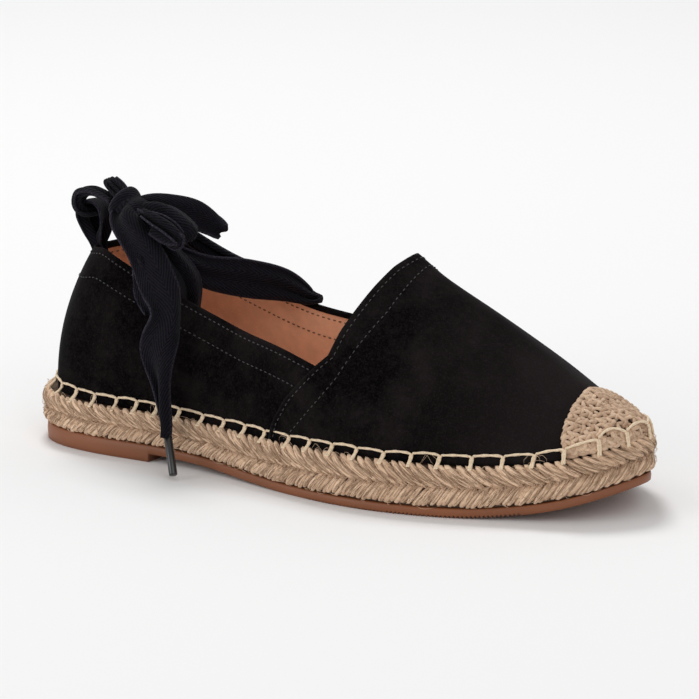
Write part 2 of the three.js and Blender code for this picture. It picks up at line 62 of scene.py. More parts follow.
# x, outer half width, inner half width, the jute band's height, the upper's foot inside its edge
SOLE_PLAN = np.array((
    (0.0055, 0.022, 0.0215, 0.0128, 0.0042),
    (0.016, 0.0298, 0.0294, 0.0122, 0.004),
    (0.034, 0.0334, 0.0333, 0.0118, 0.0033),
    (0.061, 0.0334, 0.0316, 0.0118, 0.0028),
    (0.089, 0.0345, 0.0285, 0.0124, 0.0028),
    (0.109, 0.0383, 0.0285, 0.0133, 0.0028),
    (0.131, 0.0428, 0.0322, 0.0145, 0.0028),
    (0.153, 0.0457, 0.0385, 0.0152, 0.0028),
    (0.176, 0.0447, 0.0435, 0.0154, 0.0028),
    (0.199, 0.0391, 0.045, 0.0152, 0.0028),
    (0.221, 0.0306, 0.0414, 0.0146, 0.0028),
    (0.239, 0.023, 0.0325, 0.0138, 0.0028),
    (0.2505, 0.0128, 0.019, 0.0132, 0.0028),
))
HEEL_END = (-0.0016, 0.0)
TOE_TIP = (0.2582, 0.003)
RUBBER = 0.0035                   # thickness of the rubber sole
HEEL_LIFT = 0.0032                # extra rubber under the heel
BREAST_X = 0.061                  # front face of the heel lift
ARCH_END_X = 0.135
SPRING_START_X = 0.19             # where the sole leaves the floor towards the toe
SPRING_POWER = 2.3
TOE_SPRING = 0.012
HUB_SPAN = (0.045, 0.222)         # x of the middle line's ends, to which spokes from the upper's foot run
SOLE_HUB_SPAN = (0.03, 0.232)     # the same for the bodies of the sole
HALVINGS = 24                     # steps of each search for a crossing

# x, crest height, how far across the ridge lies, its pointed share, roundness
UPPER_SECTIONS = np.array((
    (0.045, 0.094, 0.5, 0.25, 2.4),
    (0.08, 0.103, 0.53, 0.35, 2.4),
    (0.101, 0.101, 0.56, 0.35, 2.4),
    (0.124, 0.098, 0.59, 0.35, 2.4),
    (0.156, 0.0853, 0.6, 0.35, 2.3),
    (0.169, 0.0777, 0.585, 0.33, 2.25),
    (0.187, 0.0684, 0.56, 0.3, 2.2),
    (0.21, 0.0554, 0.53, 0.25, 2.1),
    (0.232, 0.0418, 0.51, 0.2, 2.0),
    (0.245, 0.036, 0.5, 0.15, 2.0),
))
RIDGE_SOFTNESS = 0.008            # how rounded the ridge is where the two sides meet
HEEL_DOME_X, HEEL_DOME_POWER = 0.045, 2.0
TOE_DOME_X, TOE_DOME_POWER = 0.246, 2.3
TOPLINE = np.array((              # side view of the collar's edge: x, z
    (-0.012, 0.073), (0.013, 0.0738), (0.021, 0.075), (0.029, 0.0763), (0.039, 0.0742), (0.05, 0.0707),
    (0.08, 0.0619), (0.101, 0.0566), (0.124, 0.0528), (0.141, 0.0488), (0.152, 0.046),
))
VAMP_EDGE = np.array((            # side view of the vamp's back edge, foot to peak: x, z
    (0.1205, 0.018), (0.1224, 0.025), (0.1283, 0.0349), (0.1338, 0.0411), (0.141, 0.0488),
    (0.1455, 0.053), (0.1475, 0.061), (0.1505, 0.069), (0.153, 0.076), (0.1553, 0.0815), (0.1578, 0.0845),
    (0.161, 0.0865),
))
VAMP_SEAM = np.array((            # side view of the sewn row ahead of it: x, z
    (0.1245, 0.016), (0.1347, 0.0267), (0.1439, 0.0371), (0.1466, 0.0405), (0.1504, 0.0455), (0.1537, 0.0522),
    (0.156, 0.0573), (0.1587, 0.0629), (0.1612, 0.0684), (0.1632, 0.0785), (0.1641, 0.0825),
))
CAP_EDGE = np.array((             # side view of the toe cap's back edge: x, z
    (0.2385, 0.0), (0.2376, 0.0267), (0.236, 0.0306), (0.2353, 0.0329), (0.2347, 0.0349), (0.2337, 0.0381),
    (0.2327, 0.041), (0.2318, 0.0422), (0.231, 0.0435), (0.2305, 0.046),
))


def settled(points):
    """Places measured from the heel, moved into the frame."""
    return np.asarray(points, float) - CENTRE


def normalized(vectors):
    """The same directions, one long."""
    return vectors / np.linalg.norm(vectors, axis=-1, keepdims=True)


def run_of(line):
    """How far along a line each of its points lies."""
    return np.concatenate(([0], np.cumsum(np.linalg.norm(np.diff(line, axis=0), axis=1))))


def sampled(table, run, at):
    """Rows of a table at places along a run that says where its own rows lie."""
    return np.stack([np.interp(at, run, table[:, k]) for k in range(table.shape[1])], -1)


def crossing(holds, low, high):
    """The last place on the way from low, where a test holds, to high."""
    for _ in range(HALVINGS):
        middle = (low + high) / 2
        kept = holds(middle)
        low, high = np.where(kept, middle, low), np.where(kept, high, middle)
    return low


def smooth_column(table, column):
    """A column of a table as a smooth function of x."""
    xs, ys = table[:, 0], table[:, column]
    last = len(xs) - 1
    slope = [(ys[min(i + 1, last)] - ys[max(i - 1, 0)]) / (xs[min(i + 1, last)] - xs[max(i - 1, 0)])
             for i in range(last + 1)]
    fine_x, fine_y = [], []
    for i in range(last):
        t = np.linspace(0, 1, 40, endpoint=False)
        span = xs[i + 1] - xs[i]
        fine_x.append(xs[i] + span * t)
        fine_y.append(ys[i] + (ys[i + 1] - ys[i]) * t * t * (3 - 2 * t)
                      + slope[i] * span * t * (1 - t) ** 2 + slope[i + 1] * span * t * t * (t - 1))
    fine_x = np.concatenate(fine_x + [[xs[-1]]])
    fine_y = np.concatenate(fine_y + [[ys[-1]]])
    return lambda x: np.interp(x, fine_x, fine_y)


jute_height = smooth_column(SOLE_PLAN, 3)
inset = smooth_column(SOLE_PLAN, 4)
crest = smooth_column(UPPER_SECTIONS, 1)
ridge = smooth_column(UPPER_SECTIONS, 2)
tent = smooth_column(UPPER_SECTIONS, 3)
roundness = smooth_column(UPPER_SECTIONS, 4)
topline = smooth_column(TOPLINE, 1)


def arch_lift(x):
    """Height that the heel lift adds, which fades out along the arch."""
    return HEEL_LIFT * 0.5 * (1 + np.cos(math.pi * np.clip((x - BREAST_X) / (ARCH_END_X - BREAST_X), 0, 1)))


def toe_spring(x):
    """How far the sole's toe rises off the floor."""
    return TOE_SPRING * np.clip((x - SPRING_START_X) / (TOE_TIP[0] - SPRING_START_X), 0, 1) ** SPRING_POWER


def rubber_top(x):
    """Height of the rubber's upper face."""
    return RUBBER + arch_lift(x) + toe_spring(x)


def jute_top(x):
    """Height of the jute band's rim."""
    return rubber_top(x) + GAP + jute_height(x)


def foot_height(x):
    """Height at which the upper starts."""
    return jute_top(x) + GAP


def spline(points, count, closed=False):
    """Evenly spaced points on a smooth line through some points."""
    p = np.asarray(points, float)
    if closed:
        before, start, end, after = np.roll(p, 1, 0), p, np.roll(p, -1, 0), np.roll(p, -2, 0)
    else:
        start, end = p[:-1], p[1:]
        before = np.vstack((2 * p[:1] - p[1:2], p[:-2]))
        after = np.vstack((p[2:], 2 * p[-1:] - p[-2:-1]))
    fine = []
    for a, b, c, d in zip(before, start, end, after):
        steps = [max(np.linalg.norm(q - r), 1e-9) ** 0.5 for q, r in ((a, b), (b, c), (c, d))]
        k1 = ((b - a) / steps[0] - (c - a) / (steps[0] + steps[1]) + (c - b) / steps[1]) * steps[1]
        k2 = ((c - b) / steps[1] - (d - b) / (steps[1] + steps[2]) + (d - c) / steps[2]) * steps[1]
        t = np.linspace(0, 1, 32, endpoint=False)[:, None]
        fine.append(b + k1 * t + (3 * (c - b) - 2 * k1 - k2) * t ** 2 + (2 * (b - c) + k1 + k2) * t ** 3)
    fine = np.vstack(fine + [p[:1] if closed else p[-1:]])
    run = run_of(fine)
    return sampled(fine, run, np.linspace(0, run[-1], count))


def outward_of(ring):
    """Directions straight out of a ring that runs anticlockwise, seen from above."""
    way = normalized(np.roll(ring, -1, 0) - np.roll(ring, 1, 0))
    return np.stack((way[:, 1], -way[:, 0]), 1)


# The sole's outline from the heel, along the outer side to the toe, and back along the inner side.
OUTLINE = spline(
    [HEEL_END] + [(r[0], -r[1]) for r in SOLE_PLAN] + [TOE_TIP] + [(r[0], r[2]) for r in SOLE_PLAN[::-1]],
    2401, closed=True)[:-1]
STEP = float(np.linalg.norm(OUTLINE[1] - OUTLINE[0]))
AROUND = STEP * len(OUTLINE)      # length of the outline
OUTWARD = outward_of(OUTLINE)
FOOT = OUTLINE - OUTWARD * inset(OUTLINE[:, 0])[:, None]      # the outline of the upper's foot
FOOT_TOE = int(np.argmax(FOOT[:, 0]))
FOOT_TIP = FOOT[FOOT_TOE, 0] - 1e-5                           # x just inside its tip


def on_ring(ring, s):
    """Point of a closed ring that belongs to a distance s along the sole's outline."""
    place = (np.asarray(s, float) / STEP) % len(ring)
    low = np.floor(place).astype(int) % len(ring)
    high = (low + 1) % len(ring)
    share = (place - np.floor(place))[..., None]
    return ring[low] * (1 - share) + ring[high] * share


def foot_edges(x):
    """y of the upper's foot at x, on the outer and the inner side."""
    outer, inner = FOOT[:FOOT_TOE + 1], FOOT[FOOT_TOE:][::-1]
    inner = np.vstack((FOOT[:1], inner))
    return np.interp(x, outer[:, 0], outer[:, 1]), np.interp(x, inner[:, 0], inner[:, 1])


def hub_at(x, span):
    """Point on the foot's middle line level with x, kept within a span."""
    hub_x = np.clip(x, *span)
    outer, inner = foot_edges(hub_x)
    return np.stack((hub_x, (outer + inner) / 2), -1)


def dome(reach, power):
    """Share of the full height left at a reach, which is 1 where the dome meets the ground."""
    return (1 - np.clip(reach, 0, 1) ** power) ** (1 / power)


def arch_height(x):
    """Height of the last's ridge over the upper's foot."""
    full = crest(x) - foot_height(x)
    heel = dome((HEEL_DOME_X - x) / (HEEL_DOME_X - FOOT[0, 0]), HEEL_DOME_POWER)
    toe = dome((x - TOE_DOME_X) / (FOOT[FOOT_TOE, 0] - TOE_DOME_X), TOE_DOME_POWER)
    return full * heel * toe


def arch_point(x, turn):
    """Point of the last at x. turn is -1 at the outer foot, 0 on the ridge and 1 at the inner foot."""
    top = ridge(x)
    across = np.where(turn < 0, top * (1 + turn), top + (1 - top) * turn)
    outer, inner = foot_edges(x)
    reach = np.abs(turn)
    slope = 1 - (np.sqrt(reach ** 2 + RIDGE_SOFTNESS) - RIDGE_SOFTNESS ** 0.5) / (
        (1 + RIDGE_SOFTNESS) ** 0.5 - RIDGE_SOFTNESS ** 0.5)
    share = (1 - tent(x)) * (1 - reach ** roundness(x)) ** (1 / roundness(x)) + tent(x) * slope
    return np.stack((x, outer + (inner - outer) * across, foot_height(x) + arch_height(x) * share), -1)


def last_height(x, y):
    """Height of the last over a place on the ground."""
    outer, inner = foot_edges(x)
    across = np.clip((y - outer) / np.maximum(inner - outer, 1e-6), 0, 1)
    top = ridge(x)
    turn = np.where(across < top, across / top - 1, (across - top) / (1 - top))
    return arch_point(x, turn)[..., 2]


def spoke_point(s, z_of):
    """Point of the last over the foot at s along the outline, at a height that may depend on its x."""
    root = on_ring(FOOT, s)
    hub = hub_at(root[..., 0], HUB_SPAN)
    x = root[..., 0]
    for _ in range(4):            # the height depends on where the point is found
        z = z_of(x)

        def spot(share):
            return hub + (root - hub) * share[..., None]

        def covered(share):
            at = spot(share)
            return last_height(at[..., 0], at[..., 1]) > z

        at = spot(crossing(covered, np.zeros_like(x), np.ones_like(x)))
        x = at[..., 0]
    return np.concatenate((at, z_of(x)[..., None]), -1)


def skin_over_foot(s, lift, out):
    """Point of the upper's outer skin over the foot at s, lifted along it and held off it, and its normal."""
    s, lift = np.asarray(s, float), np.asarray(lift, float)
    rows = [spoke_point(s + ds, lambda x, dz=dz: foot_height(x) + lift + dz)
            for ds, dz in ((0, 0), (0.0006, 0), (0, 0.0006))]
    normal = normalized(np.cross(rows[1] - rows[0], rows[2] - rows[0]))
    return rows[0] + normal * np.asarray(out, float)[..., None], normal


# ---- what a user may change ----------------------------------------------------------------

def length(name, description, default):
    """A length that a user may change."""
    return bpy.props.FloatProperty(name=name, description=description, default=default, min=0.0001,
                                   soft_max=default * 3, precision=5, subtype="DISTANCE", unit="LENGTH")


def light(name, description, default):
    """A light's strength that a user may change."""
    return bpy.props.FloatProperty(name=name, description=description, default=default, min=0.0)


def color(name, description, default):
    """A colour that a user may change."""
    return bpy.props.FloatVectorProperty(name=name, description=description, default=default, size=3,
                                         min=0.0, max=1.0, subtype="COLOR")


class EspadrilleSizes(bpy.types.PropertyGroup):
    """Sizes of the tape, threads and yarns, and the strength of the lights."""

    tape_width: length("Tape width", "Width of the twill tape laid flat", 0.015)
    tape_thickness: length("Tape thickness", "Thickness of the twill tape", 0.0008)
    heel_loop_width: length("Heel loop width", "Width of the tape of the heel loop", 0.013)
    aglet_width: length("Aglet width", "Width of the tips of the tails", 0.0032)
    vamp_step: length("Vamp step", "How far the vamp's folded edge stands over the quarter", 0.0011)
    seam_pitch: length("Seam pitch", "Length of one stitch of the sewn rows and its gap", 0.0024)
    thread_width: length("Blanket thread width", "Width of the thread that sews upper to sole", 0.00098)
    braid_pitch: length("Braid pitch", "Distance between the strands of the jute braid", 0.0036)
    crochet_row: length("Crochet row", "Distance between the rows of the toe cap", 0.0035)
    crochet_stitch: length("Crochet stitch", "Width of one stitch of the toe cap", 0.0036)
    room_light: light("Room light", "Strength of the even light all round", 0.56)
    key_light: light("Key light", "Power of the light over the heel's far side, in watts", 17.0)
    fill_light: light("Fill light", "Power of the light ahead of the toe, in watts", 6.0)
    front_light: light("Front light", "Power of the light on the outer side, in watts", 7.0)


class EspadrilleColors(bpy.types.PropertyGroup):
    """Colours of the shoe's materials and of the floor."""

    suede: color("Suede", "Colour of the suede", (0.0016, 0.0012, 0.0013))
    # The colour of the clouds of lying nap, and also the base of the painted highlight on the suede towards
    # the toe.
    suede_nap_and_highlight: color("Worn suede", "Colour where the suede's nap lies down", (0.0135, 0.0105, 0.0108))
    lining: color("Lining", "Colour of the lining leather", (0.96, 0.55, 0.35))
    lining_thread: color("Lining thread", "Colour of the rows sewn through the lining", (0.22, 0.10, 0.06))
    insole: color("Insole", "Colour of the insole leather", (0.80, 0.45, 0.29))
    seam: color("Seam thread", "Colour of the rows sewn on the suede", (0.05, 0.045, 0.045))
    twill: color("Twill", "Colour of the tape", (0.0085, 0.0072, 0.012))
    # Lighter loose fibres, partly painted glint; also the base of the painted highlight on the tape's edges.
    twill_fuzz_and_glint: color("Twill fuzz", "Colour of the tape's loose fibres", (0.036, 0.032, 0.046))
    aglet: color("Aglet", "Colour of the tips of the tails", (0.012, 0.012, 0.013))
    jute: color("Jute", "Colour of the palest jute", (1.0, 0.735, 0.52))
    jute_shadow: color("Dark jute", "Colour of the darkest jute fibres", (0.45, 0.275, 0.165))
    crochet: color("Crochet yarn", "Colour of the toe cap's yarn", (0.88, 0.66, 0.475))
    crochet_shadow: color("Dark crochet yarn", "Colour of the yarn's darkest fibres", (0.36, 0.22, 0.135))
    thread: color("Blanket thread", "Colour of the thread that sews upper to sole", (0.93, 0.73, 0.51))
    rubber: color("Rubber", "Colour of the outsole", (0.26, 0.09, 0.036))
    floor: color("Floor", "Colour of the floor", (0.88, 0.88, 0.88))


def sizes():
    return bpy.context.scene.espadrille_sizes


def colors():
    return bpy.context.scene.espadrille_colors


# ---- meshes ------------------------------------------------------------------------------

def finished(name, bm, material, smooth=True):
    """An object from a bmesh that is already in the frame's place."""
    mesh = bpy.data.meshes.new(name)
    bm.to_mesh(mesh)
    bm.free()
    mesh.materials.append(material)
    mesh.shade_smooth() if smooth else mesh.shade_flat()
    piece = bpy.data.objects.new(name, mesh)
    bpy.context.scene.collection.objects.link(piece)
    return piece


def sheet(name, bm, points, size, material, turned=False):
    """An object from a grid whose points are measured from the heel. turned swaps its front and back."""
    place_points(bm, settled(points))
    scale_uvs(bm, *size)
    bmesh.ops.recalc_face_normals(bm, faces=bm.faces[:])
    if turned:
        bmesh.ops.reverse_faces(bm, faces=bm.faces[:])
    return finished(name, bm, finish(material))


def grid(rows, columns):
    """A bmesh grid, and where its points lie from 0 to 1: along the rows, and across."""
    bm = bmesh.new()
    bm.loops.layers.uv.new("UVMap")
    bmesh.ops.create_grid(bm, x_segments=columns, y_segments=rows, size=0.5, calc_uvs=True)
    return bm, np.array([vert.co[:2] for vert in bm.verts]) + 0.5


def place_points(bm, points):
    """Moves the vertices of a bmesh to points, in their order."""
    for vert, point in zip(bm.verts, points):
        vert.co = point


def scale_uvs(bm, length, width):
    """Gives a grid's texture places their size in metres."""
    layer = bm.loops.layers.uv.active
    for face in bm.faces:
        for loop in face.loops:
            uv = loop[layer].uv
            loop[layer].uv = (uv[0] * length, uv[1] * width)


def tube_unit(steps, sides, radius=lambda along, turn: 1.0):
    """A tube from x = 0 to 1 whose ends close to points. Its radius is a function of along and turn."""
    bm, at = grid(sides, steps)
    turn = at[:, 1] * 2 * math.pi
    size = radius(at[:, 0], turn) * np.ones(len(at))
    size = np.where((at[:, 0] < 1e-6) | (at[:, 0] > 1 - 1e-6), 0, size)
    place_points(bm, np.stack((at[:, 0], size * np.cos(turn), size * np.sin(turn)), 1))
    bmesh.ops.remove_doubles(bm, verts=bm.verts[:], dist=1e-6)
    bmesh.ops.recalc_face_normals(bm, faces=bm.faces[:])
    return bm


def bent(points, line, up):
    """Points of a straight unit (x from 0 to 1 along it) bent along a line whose upper side faces up."""
    line, up = np.asarray(line, float), np.asarray(up, float)
    if up.ndim == 1:
        up = np.tile(up, (len(line), 1))
    along = normalized(np.gradient(line, axis=0))
    up = normalized(up - along * np.sum(along * up, axis=1)[:, None])
    at = np.clip(points[:, 0], 0, 1) * (len(line) - 1)
    tables = line, np.cross(up, along), up
    middle, side, over = (sampled(table, np.arange(len(line)), at) for table in tables)
    return middle + points[:, 1:2] * side + points[:, 2:3] * over


def copies(name, unit, bends, material, tones=None):
    """One mesh of many copies of a unit. Each bend is a function that moves the unit's points."""
    single = bpy.data.meshes.new(name + "_unit")
    unit.to_mesh(single)
    unit.free()
    points = np.empty(len(single.vertices) * 3, np.float32)
    single.vertices.foreach_get("co", points)
    points = points.reshape(-1, 3).astype(float)
    bm = bmesh.new()
    for _ in bends:
        bm.from_mesh(single)
    mesh = bpy.data.meshes.new(name)
    bm.to_mesh(mesh)
    bm.free()
    bpy.data.meshes.remove(single)
    placed = np.concatenate([settled(bend(points)) for bend in bends])
    mesh.vertices.foreach_set("co", placed.astype(np.float32).ravel())
    if tones is not None:
        layer = mesh.attributes.new("tone", "FLOAT", "POINT")
        layer.data.foreach_set("value", np.repeat(np.asarray(tones, np.float32), len(points)))
    mesh.update()
    mesh.shade_smooth()
    mesh.materials.append(material)
    piece = bpy.data.objects.new(name, mesh)
    bpy.context.scene.collection.objects.link(piece)
    return piece


def along_line(line, up, across, high):
    """A bend that lays a unit on a line, scaled to half sizes across and high."""
    return lambda points: bent(points * (1, across, high), line, up)


def solidified(piece, thickness, offset):
    """The piece with a wall of a thickness, behind its faces for an offset of -1 and both ways for 0."""
    shell = piece.modifiers.new("wall", "SOLIDIFY")
    shell.thickness = thickness
    shell.offset = offset
    return piece


# ---- materials ---------------------------------------------------------------------------

class Value:
    """A shader socket that takes part in Python arithmetic."""

    def __init__(self, graph, socket):
        self.graph, self.socket = graph, socket

    def math(self, operation, *others):
        return self.graph.node("ShaderNodeMath", {"operation": operation}, dict(enumerate((self, *others))))

    def __add__(self, other):
        return self.math("ADD", other)

    def __sub__(self, other):
        return self.math("SUBTRACT", other)

    def __mul__(self, other):
        return self.math("MULTIPLY", other)

    __radd__, __rmul__ = __add__, __mul__


class Finish:
    """A named material with one principled shader, whose plain values are set on its sockets."""

    def __init__(self, name, color, roughness, **plain):
        self.material = bpy.data.materials.new(name)
        self.material.use_nodes = True
        self.tree = self.material.node_tree
        self.shader = self.tree.nodes["Principled BSDF"]
        self.shader.inputs["Base Color"].default_value = (*color, 1)
        self.shader.inputs["Roughness"].default_value = roughness
        for key, value in plain.items():
            self.shader.inputs[key.replace("_", " ").title().replace("Ior", "IOR")].default_value = value

    def node(self, kind, settings=None, values=None, out=0):
        """A new node with its settings and its inputs, each a plain value or a Value to link, as a Value."""
        node = self.tree.nodes.new(kind)
        for key, value in (settings or {}).items():
            setattr(node, key, value)
        for key, value in (values or {}).items():
            socket = node.inputs[key]
            if isinstance(value, Value):
                self.tree.links.new(value.socket, socket)
            elif np.ndim(value) and len(value) == 3 and socket.type == "RGBA":
                socket.default_value = (*value, 1)
            else:
                socket.default_value = value
        return Value(self, node.outputs[out])

    def place(self, source="Object", scale=(1, 1, 1)):
        """Places on the object, or in its texture for UV."""
        where = self.node("ShaderNodeTexCoord", out=source)
        return self.node("ShaderNodeMapping", {}, {"Vector": where, "Scale": scale})

    def attribute(self, name):
        return self.node("ShaderNodeAttribute", {"attribute_name": name}, out="Fac")

    def noise(self, where, scale, detail=2.0, roughness=0.5):
        return self.node("ShaderNodeTexNoise", {}, {"Vector": where, "Scale": scale, "Detail": detail,
                                                    "Roughness": roughness})

    def mix(self, share, first, second):
        """The first colour, or as much of the second as share says."""
        return self.node("ShaderNodeMix", {"data_type": "RGBA"}, {0: share, 6: first, 7: second}, out=2)

    def stretch(self, value, low, high):
        """0 at low and 1 at high."""
        return self.node("ShaderNodeMapRange", {}, {0: value, 1: low, 2: high})

    def color(self, value):
        self.tree.links.new(value.socket, self.shader.inputs["Base Color"])

    def bump(self, height, strength, distance):
        bump = self.node("ShaderNodeBump", {}, {"Height": height, "Strength": strength, "Distance": distance})
        self.tree.links.new(bump.socket, self.shader.inputs["Normal"])


def suede_finish(dark, worn_nap_and_highlight):
    """Suede with clouds where its nap lies down, and a painted highlight that grows towards the toe."""
    f = Finish("black_suede", dark, 1.0, sheen_weight=0.05, sheen_roughness=0.35,
               specular_ior_level=0.03)
    where = f.place()
    clouds = f.stretch(f.noise(where, 34, 4, 0.62), 0.46, 0.74)
    nap = f.noise(where, 1500, 2, 0.6)
    marks = f.stretch(f.noise(where, 420, 2, 0.6), 0.45, 0.8)
    base = f.mix(clouds, dark, worn_nap_and_highlight)
    # Painted highlight: the suede is mixed lighter towards the toe.
    ahead = f.stretch(f.node("ShaderNodeSeparateXYZ", {}, {"Vector": where}), 0.045, 0.095)
    base = f.mix(ahead * 0.6, base, shade(worn_nap_and_highlight, 1.3))
    base = f.mix(marks * 0.3, base, shade(worn_nap_and_highlight, 1.25))
    base = f.mix(f.stretch(nap, 0.5, 0.8) * 0.4, base, shade(worn_nap_and_highlight, 2.2))
    f.color(base)
    f.bump(nap + clouds * 0.3, 0.35, 0.0003)
    return f.material


def rubber_finish(color):
    """Slightly uneven natural rubber."""
    f = Finish("gum_rubber", color, 0.5, specular_ior_level=0.4)
    where = f.place()
    wave = f.stretch(f.noise(where, 20, 2), 0.3, 0.7)
    f.color(f.mix(wave, shade(color, 0.75), color))
    f.bump(f.noise(where, 700, 2), 0.12, 0.0002)
    return f.material


def jute_finish(name, dark, light, across=26.0, contrast=0.8):
    """Fibres that run along the texture's length, with a tone for each strand."""
    f = Finish(name, light, 0.9, specular_ior_level=0.25, sheen_weight=0.12)
    where = f.place("UV")
    along = f.node("ShaderNodeMapping", {}, {"Vector": where, "Scale": (7.0, across, 1.0)})
    fibre = f.noise(along, 1.0, 3, 0.65)
    tone = f.attribute("tone")
    patch = f.noise(f.place(), 160, 2, 0.6)
    share = f.stretch(fibre * contrast + tone * 0.35 + patch * 0.35, 0.3, 1.05)
    f.color(f.mix(share, dark, light))
    f.bump(fibre, 0.7, 0.0004)
    return f.material


def leather_finish(name, dark, light, grain):
    """Smooth leather with a fine grain."""
    f = Finish(name, light, 0.55, specular_ior_level=0.35)
    where = f.place()
    cells = f.node("ShaderNodeTexVoronoi", {"feature": "DISTANCE_TO_EDGE"},
                   {"Vector": where, "Scale": grain, "Randomness": 1.0})
    folds = f.noise(where, 130, 3, 0.6)
    f.color(f.mix(f.stretch(folds, 0.35, 0.7), dark, light))
    f.bump(f.stretch(cells, 0.0, 0.12) + folds * 1.5, 0.3, 0.0003)
    return f.material


HERRINGBONE_WIDTH = 0.005         # width of each slanting stripe of the twill


def twill_finish(color, fuzz_and_glint):
    """Herringbone tape with lighter specks of loose fibres that are partly painted glint, and a painted
    highlight along both edges.
    """
    f = Finish("twill_tape", color, 0.9, sheen_weight=0.03, sheen_roughness=0.4,
               specular_ior_level=0.12)
    where = f.place("UV")
    along = f.node("ShaderNodeSeparateXYZ", {}, {"Vector": where})
    across = f.node("ShaderNodeSeparateXYZ", {}, {"Vector": where}, out=1)
    zigzag = (across * (1 / HERRINGBONE_WIDTH)).math("PINGPONG", 1.0)
    line = ((along * 450.0 + zigzag * 5.0) * (2 * math.pi / 1.05)).math("SINE")
    ribs = f.stretch(line, -0.7, 0.9)
    nap = f.noise(f.place(), 2200, 2, 0.7)
    base = f.mix(ribs, shade(color, 0.12), color)
    # Lighter loose fibres in specks, partly painted glint.
    base = f.mix(f.stretch(nap, 0.5, 0.75) * 0.4, base, fuzz_and_glint)
    edge, off = sizes().tape_width / 2, (across - sizes().tape_width / 2).math("ABSOLUTE")
    # Painted highlight: pale specks along both edges of the tape.
    edge_highlight = f.stretch(off, edge - 0.0009, edge - 0.0001) * f.stretch(off, edge + 0.0004, edge + 0.0001)
    base = f.mix(edge_highlight * f.stretch(nap, 0.35, 0.7) * 0.55, base, shade(fuzz_and_glint, 2.0))
    f.color(base)
    f.bump(ribs + nap * 0.6, 0.6, 0.0003)
    return f.material


def thread_finish(name, dark, light):
    """Twisted thread."""
    f = Finish(name, light, 0.7, specular_ior_level=0.4, sheen_weight=0.15)
    where = f.place("UV")
    ply = f.node("ShaderNodeMapping", {}, {"Vector": where, "Scale": (9.0, 8.0, 1.0)})
    f.color(f.mix(f.stretch(f.noise(ply, 1.0, 2), 0.3, 0.7), dark, light))
    return f.material


def plastic_finish(color):
    """Glossy plastic."""
    f = Finish("aglet_plastic", color, 0.3, coat_weight=0.3, coat_roughness=0.2)
    f.bump(f.noise(f.place(scale=(1, 1, 0.2)), 500, 2), 0.1, 0.0002)
    return f.material


FINISHES = {}


def finish(name):
    """The material of that name, made the first time that a piece asks for it."""
    if name not in FINISHES:
        FINISHES[name] = make_finish(name)
    return FINISHES[name]


def shade(color, factor):
    """A colour made darker, or lighter."""
    return tuple(part * factor for part in color)


def make_finish(name):
    """A new material, in the colours that are set now."""
    c = colors()
    makers = {
        "suede": lambda: suede_finish(c.suede, c.suede_nap_and_highlight),
        "rubber": lambda: rubber_finish(c.rubber),
        "jute": lambda: jute_finish("jute_braid", c.jute_shadow, c.jute),
        # Painted shade: jute far darker than the braid's, for the shade in the gaps between strands and
        # between stitches.
        "jute_core": lambda: jute_finish("jute_core", shade(c.jute_shadow, 0.15), shade(c.jute_shadow, 0.38)),
        "jute_fibre": lambda: jute_finish("jute_yarn", shade(c.jute_shadow, 0.7), c.jute, 2.0, 0.2),
        "fibre": lambda: jute_finish("loose_fibre", c.jute_shadow, c.jute, 2.0, 0.3),
        "crochet": lambda: jute_finish("crochet_yarn", c.crochet_shadow, c.crochet, 9.0, 0.5),
        "whip": lambda: thread_finish("blanket_thread", shade(c.thread, 0.62), c.thread),
        "seam": lambda: thread_finish("seam_thread", shade(c.seam, 0.2), c.seam),
        "tan_thread": lambda: thread_finish("tan_thread", shade(c.lining_thread, 0.5), c.lining_thread),
        "lining": lambda: leather_finish("lining_leather", shade(c.lining, 0.84), c.lining, 900),
        "insole": lambda: leather_finish("insole_leather", shade(c.insole, 0.84), c.insole, 700),
        "twill": lambda: twill_finish(c.twill, c.twill_fuzz_and_glint),
        "plastic": lambda: plastic_finish(c.aglet),
        "floor": lambda: Finish("studio_floor", c.floor, 0.9, specular_ior_level=0.1).material,
    }
    return makers[name]()


# ---- ribbons of the tie ------------------------------------------------------------------

# Points on the tape's middle line, the way that its face looks, and the share of its full width
# that it takes there, because it bunches up where it is pulled together.
STRAP_ROUTE = np.array((          # knot, near side, bend on the far topline, heel loop, arch, knot
    (0.056, -0.018, 0.0835, 0.6, -0.8, 0.3, 0.4),
    (0.064, -0.015, 0.0765, 0.5, -0.8, 0.3, 0.6),
    (0.0725, -0.0095, 0.0712, 0.55, -0.8, 0.15, 0.8),
    (0.0846, 0.001, 0.0677, 0.6, -0.8, 0.1, 0.98),
    (0.0945, 0.0112, 0.0642, 0.6, -0.75, 0.15, 0.8),
    (0.1005, 0.0182, 0.0594, 0.55, -0.75, 0.3, 0.45),
    (0.1025, 0.0222, 0.0572, 0.3, 0.1, 0.9, 0.25),
    (0.0955, 0.0222, 0.0602, 0, 0.8, 0.6, 0.3),
    (0.085, 0.016, 0.0655, -0.4, 0.8, 0.4, 0.45),
    (0.0745, 0.0085, 0.0705, -0.4, 0.8, 0.3, 0.5),
    (0.064, 0.002, 0.0775, -0.4, 0.8, 0.3, 0.5),
    (0.055, -0.0045, 0.086, -0.4, 0.8, 0.4, 0.4),
    (0.046, -0.0065, 0.0905, -0.1, 0.7, 0.7, 0.4),
    (0.035, 0.001, 0.091, 0, 0.3, 0.95, 0.4),
    (0.026, 0.0085, 0.089, 0, 0, 1, 0.35),
    (0.0182, 0.0085, 0.0875, 0, 0, 1, 0.3),
    (0.0153, 0.0015, 0.087, 0, 0, 1, 0.28),
    (0.0137, -0.0065, 0.0876, 0.3, 0, 0.9, 0.32),
    (0.0138, -0.01, 0.0912, 0.9, 0.2, 0.1, 0.38),
    (0.0158, -0.0108, 0.0952, 0.6, 0, -0.8, 0.42),
    (0.022, -0.0122, 0.0972, 0, 0, -1, 0.42),
    (0.0295, -0.0148, 0.0969, -0.1, 0, -1, 0.4),
    (0.0366, -0.0175, 0.0955, -0.1, 0, -1, 0.35),
))
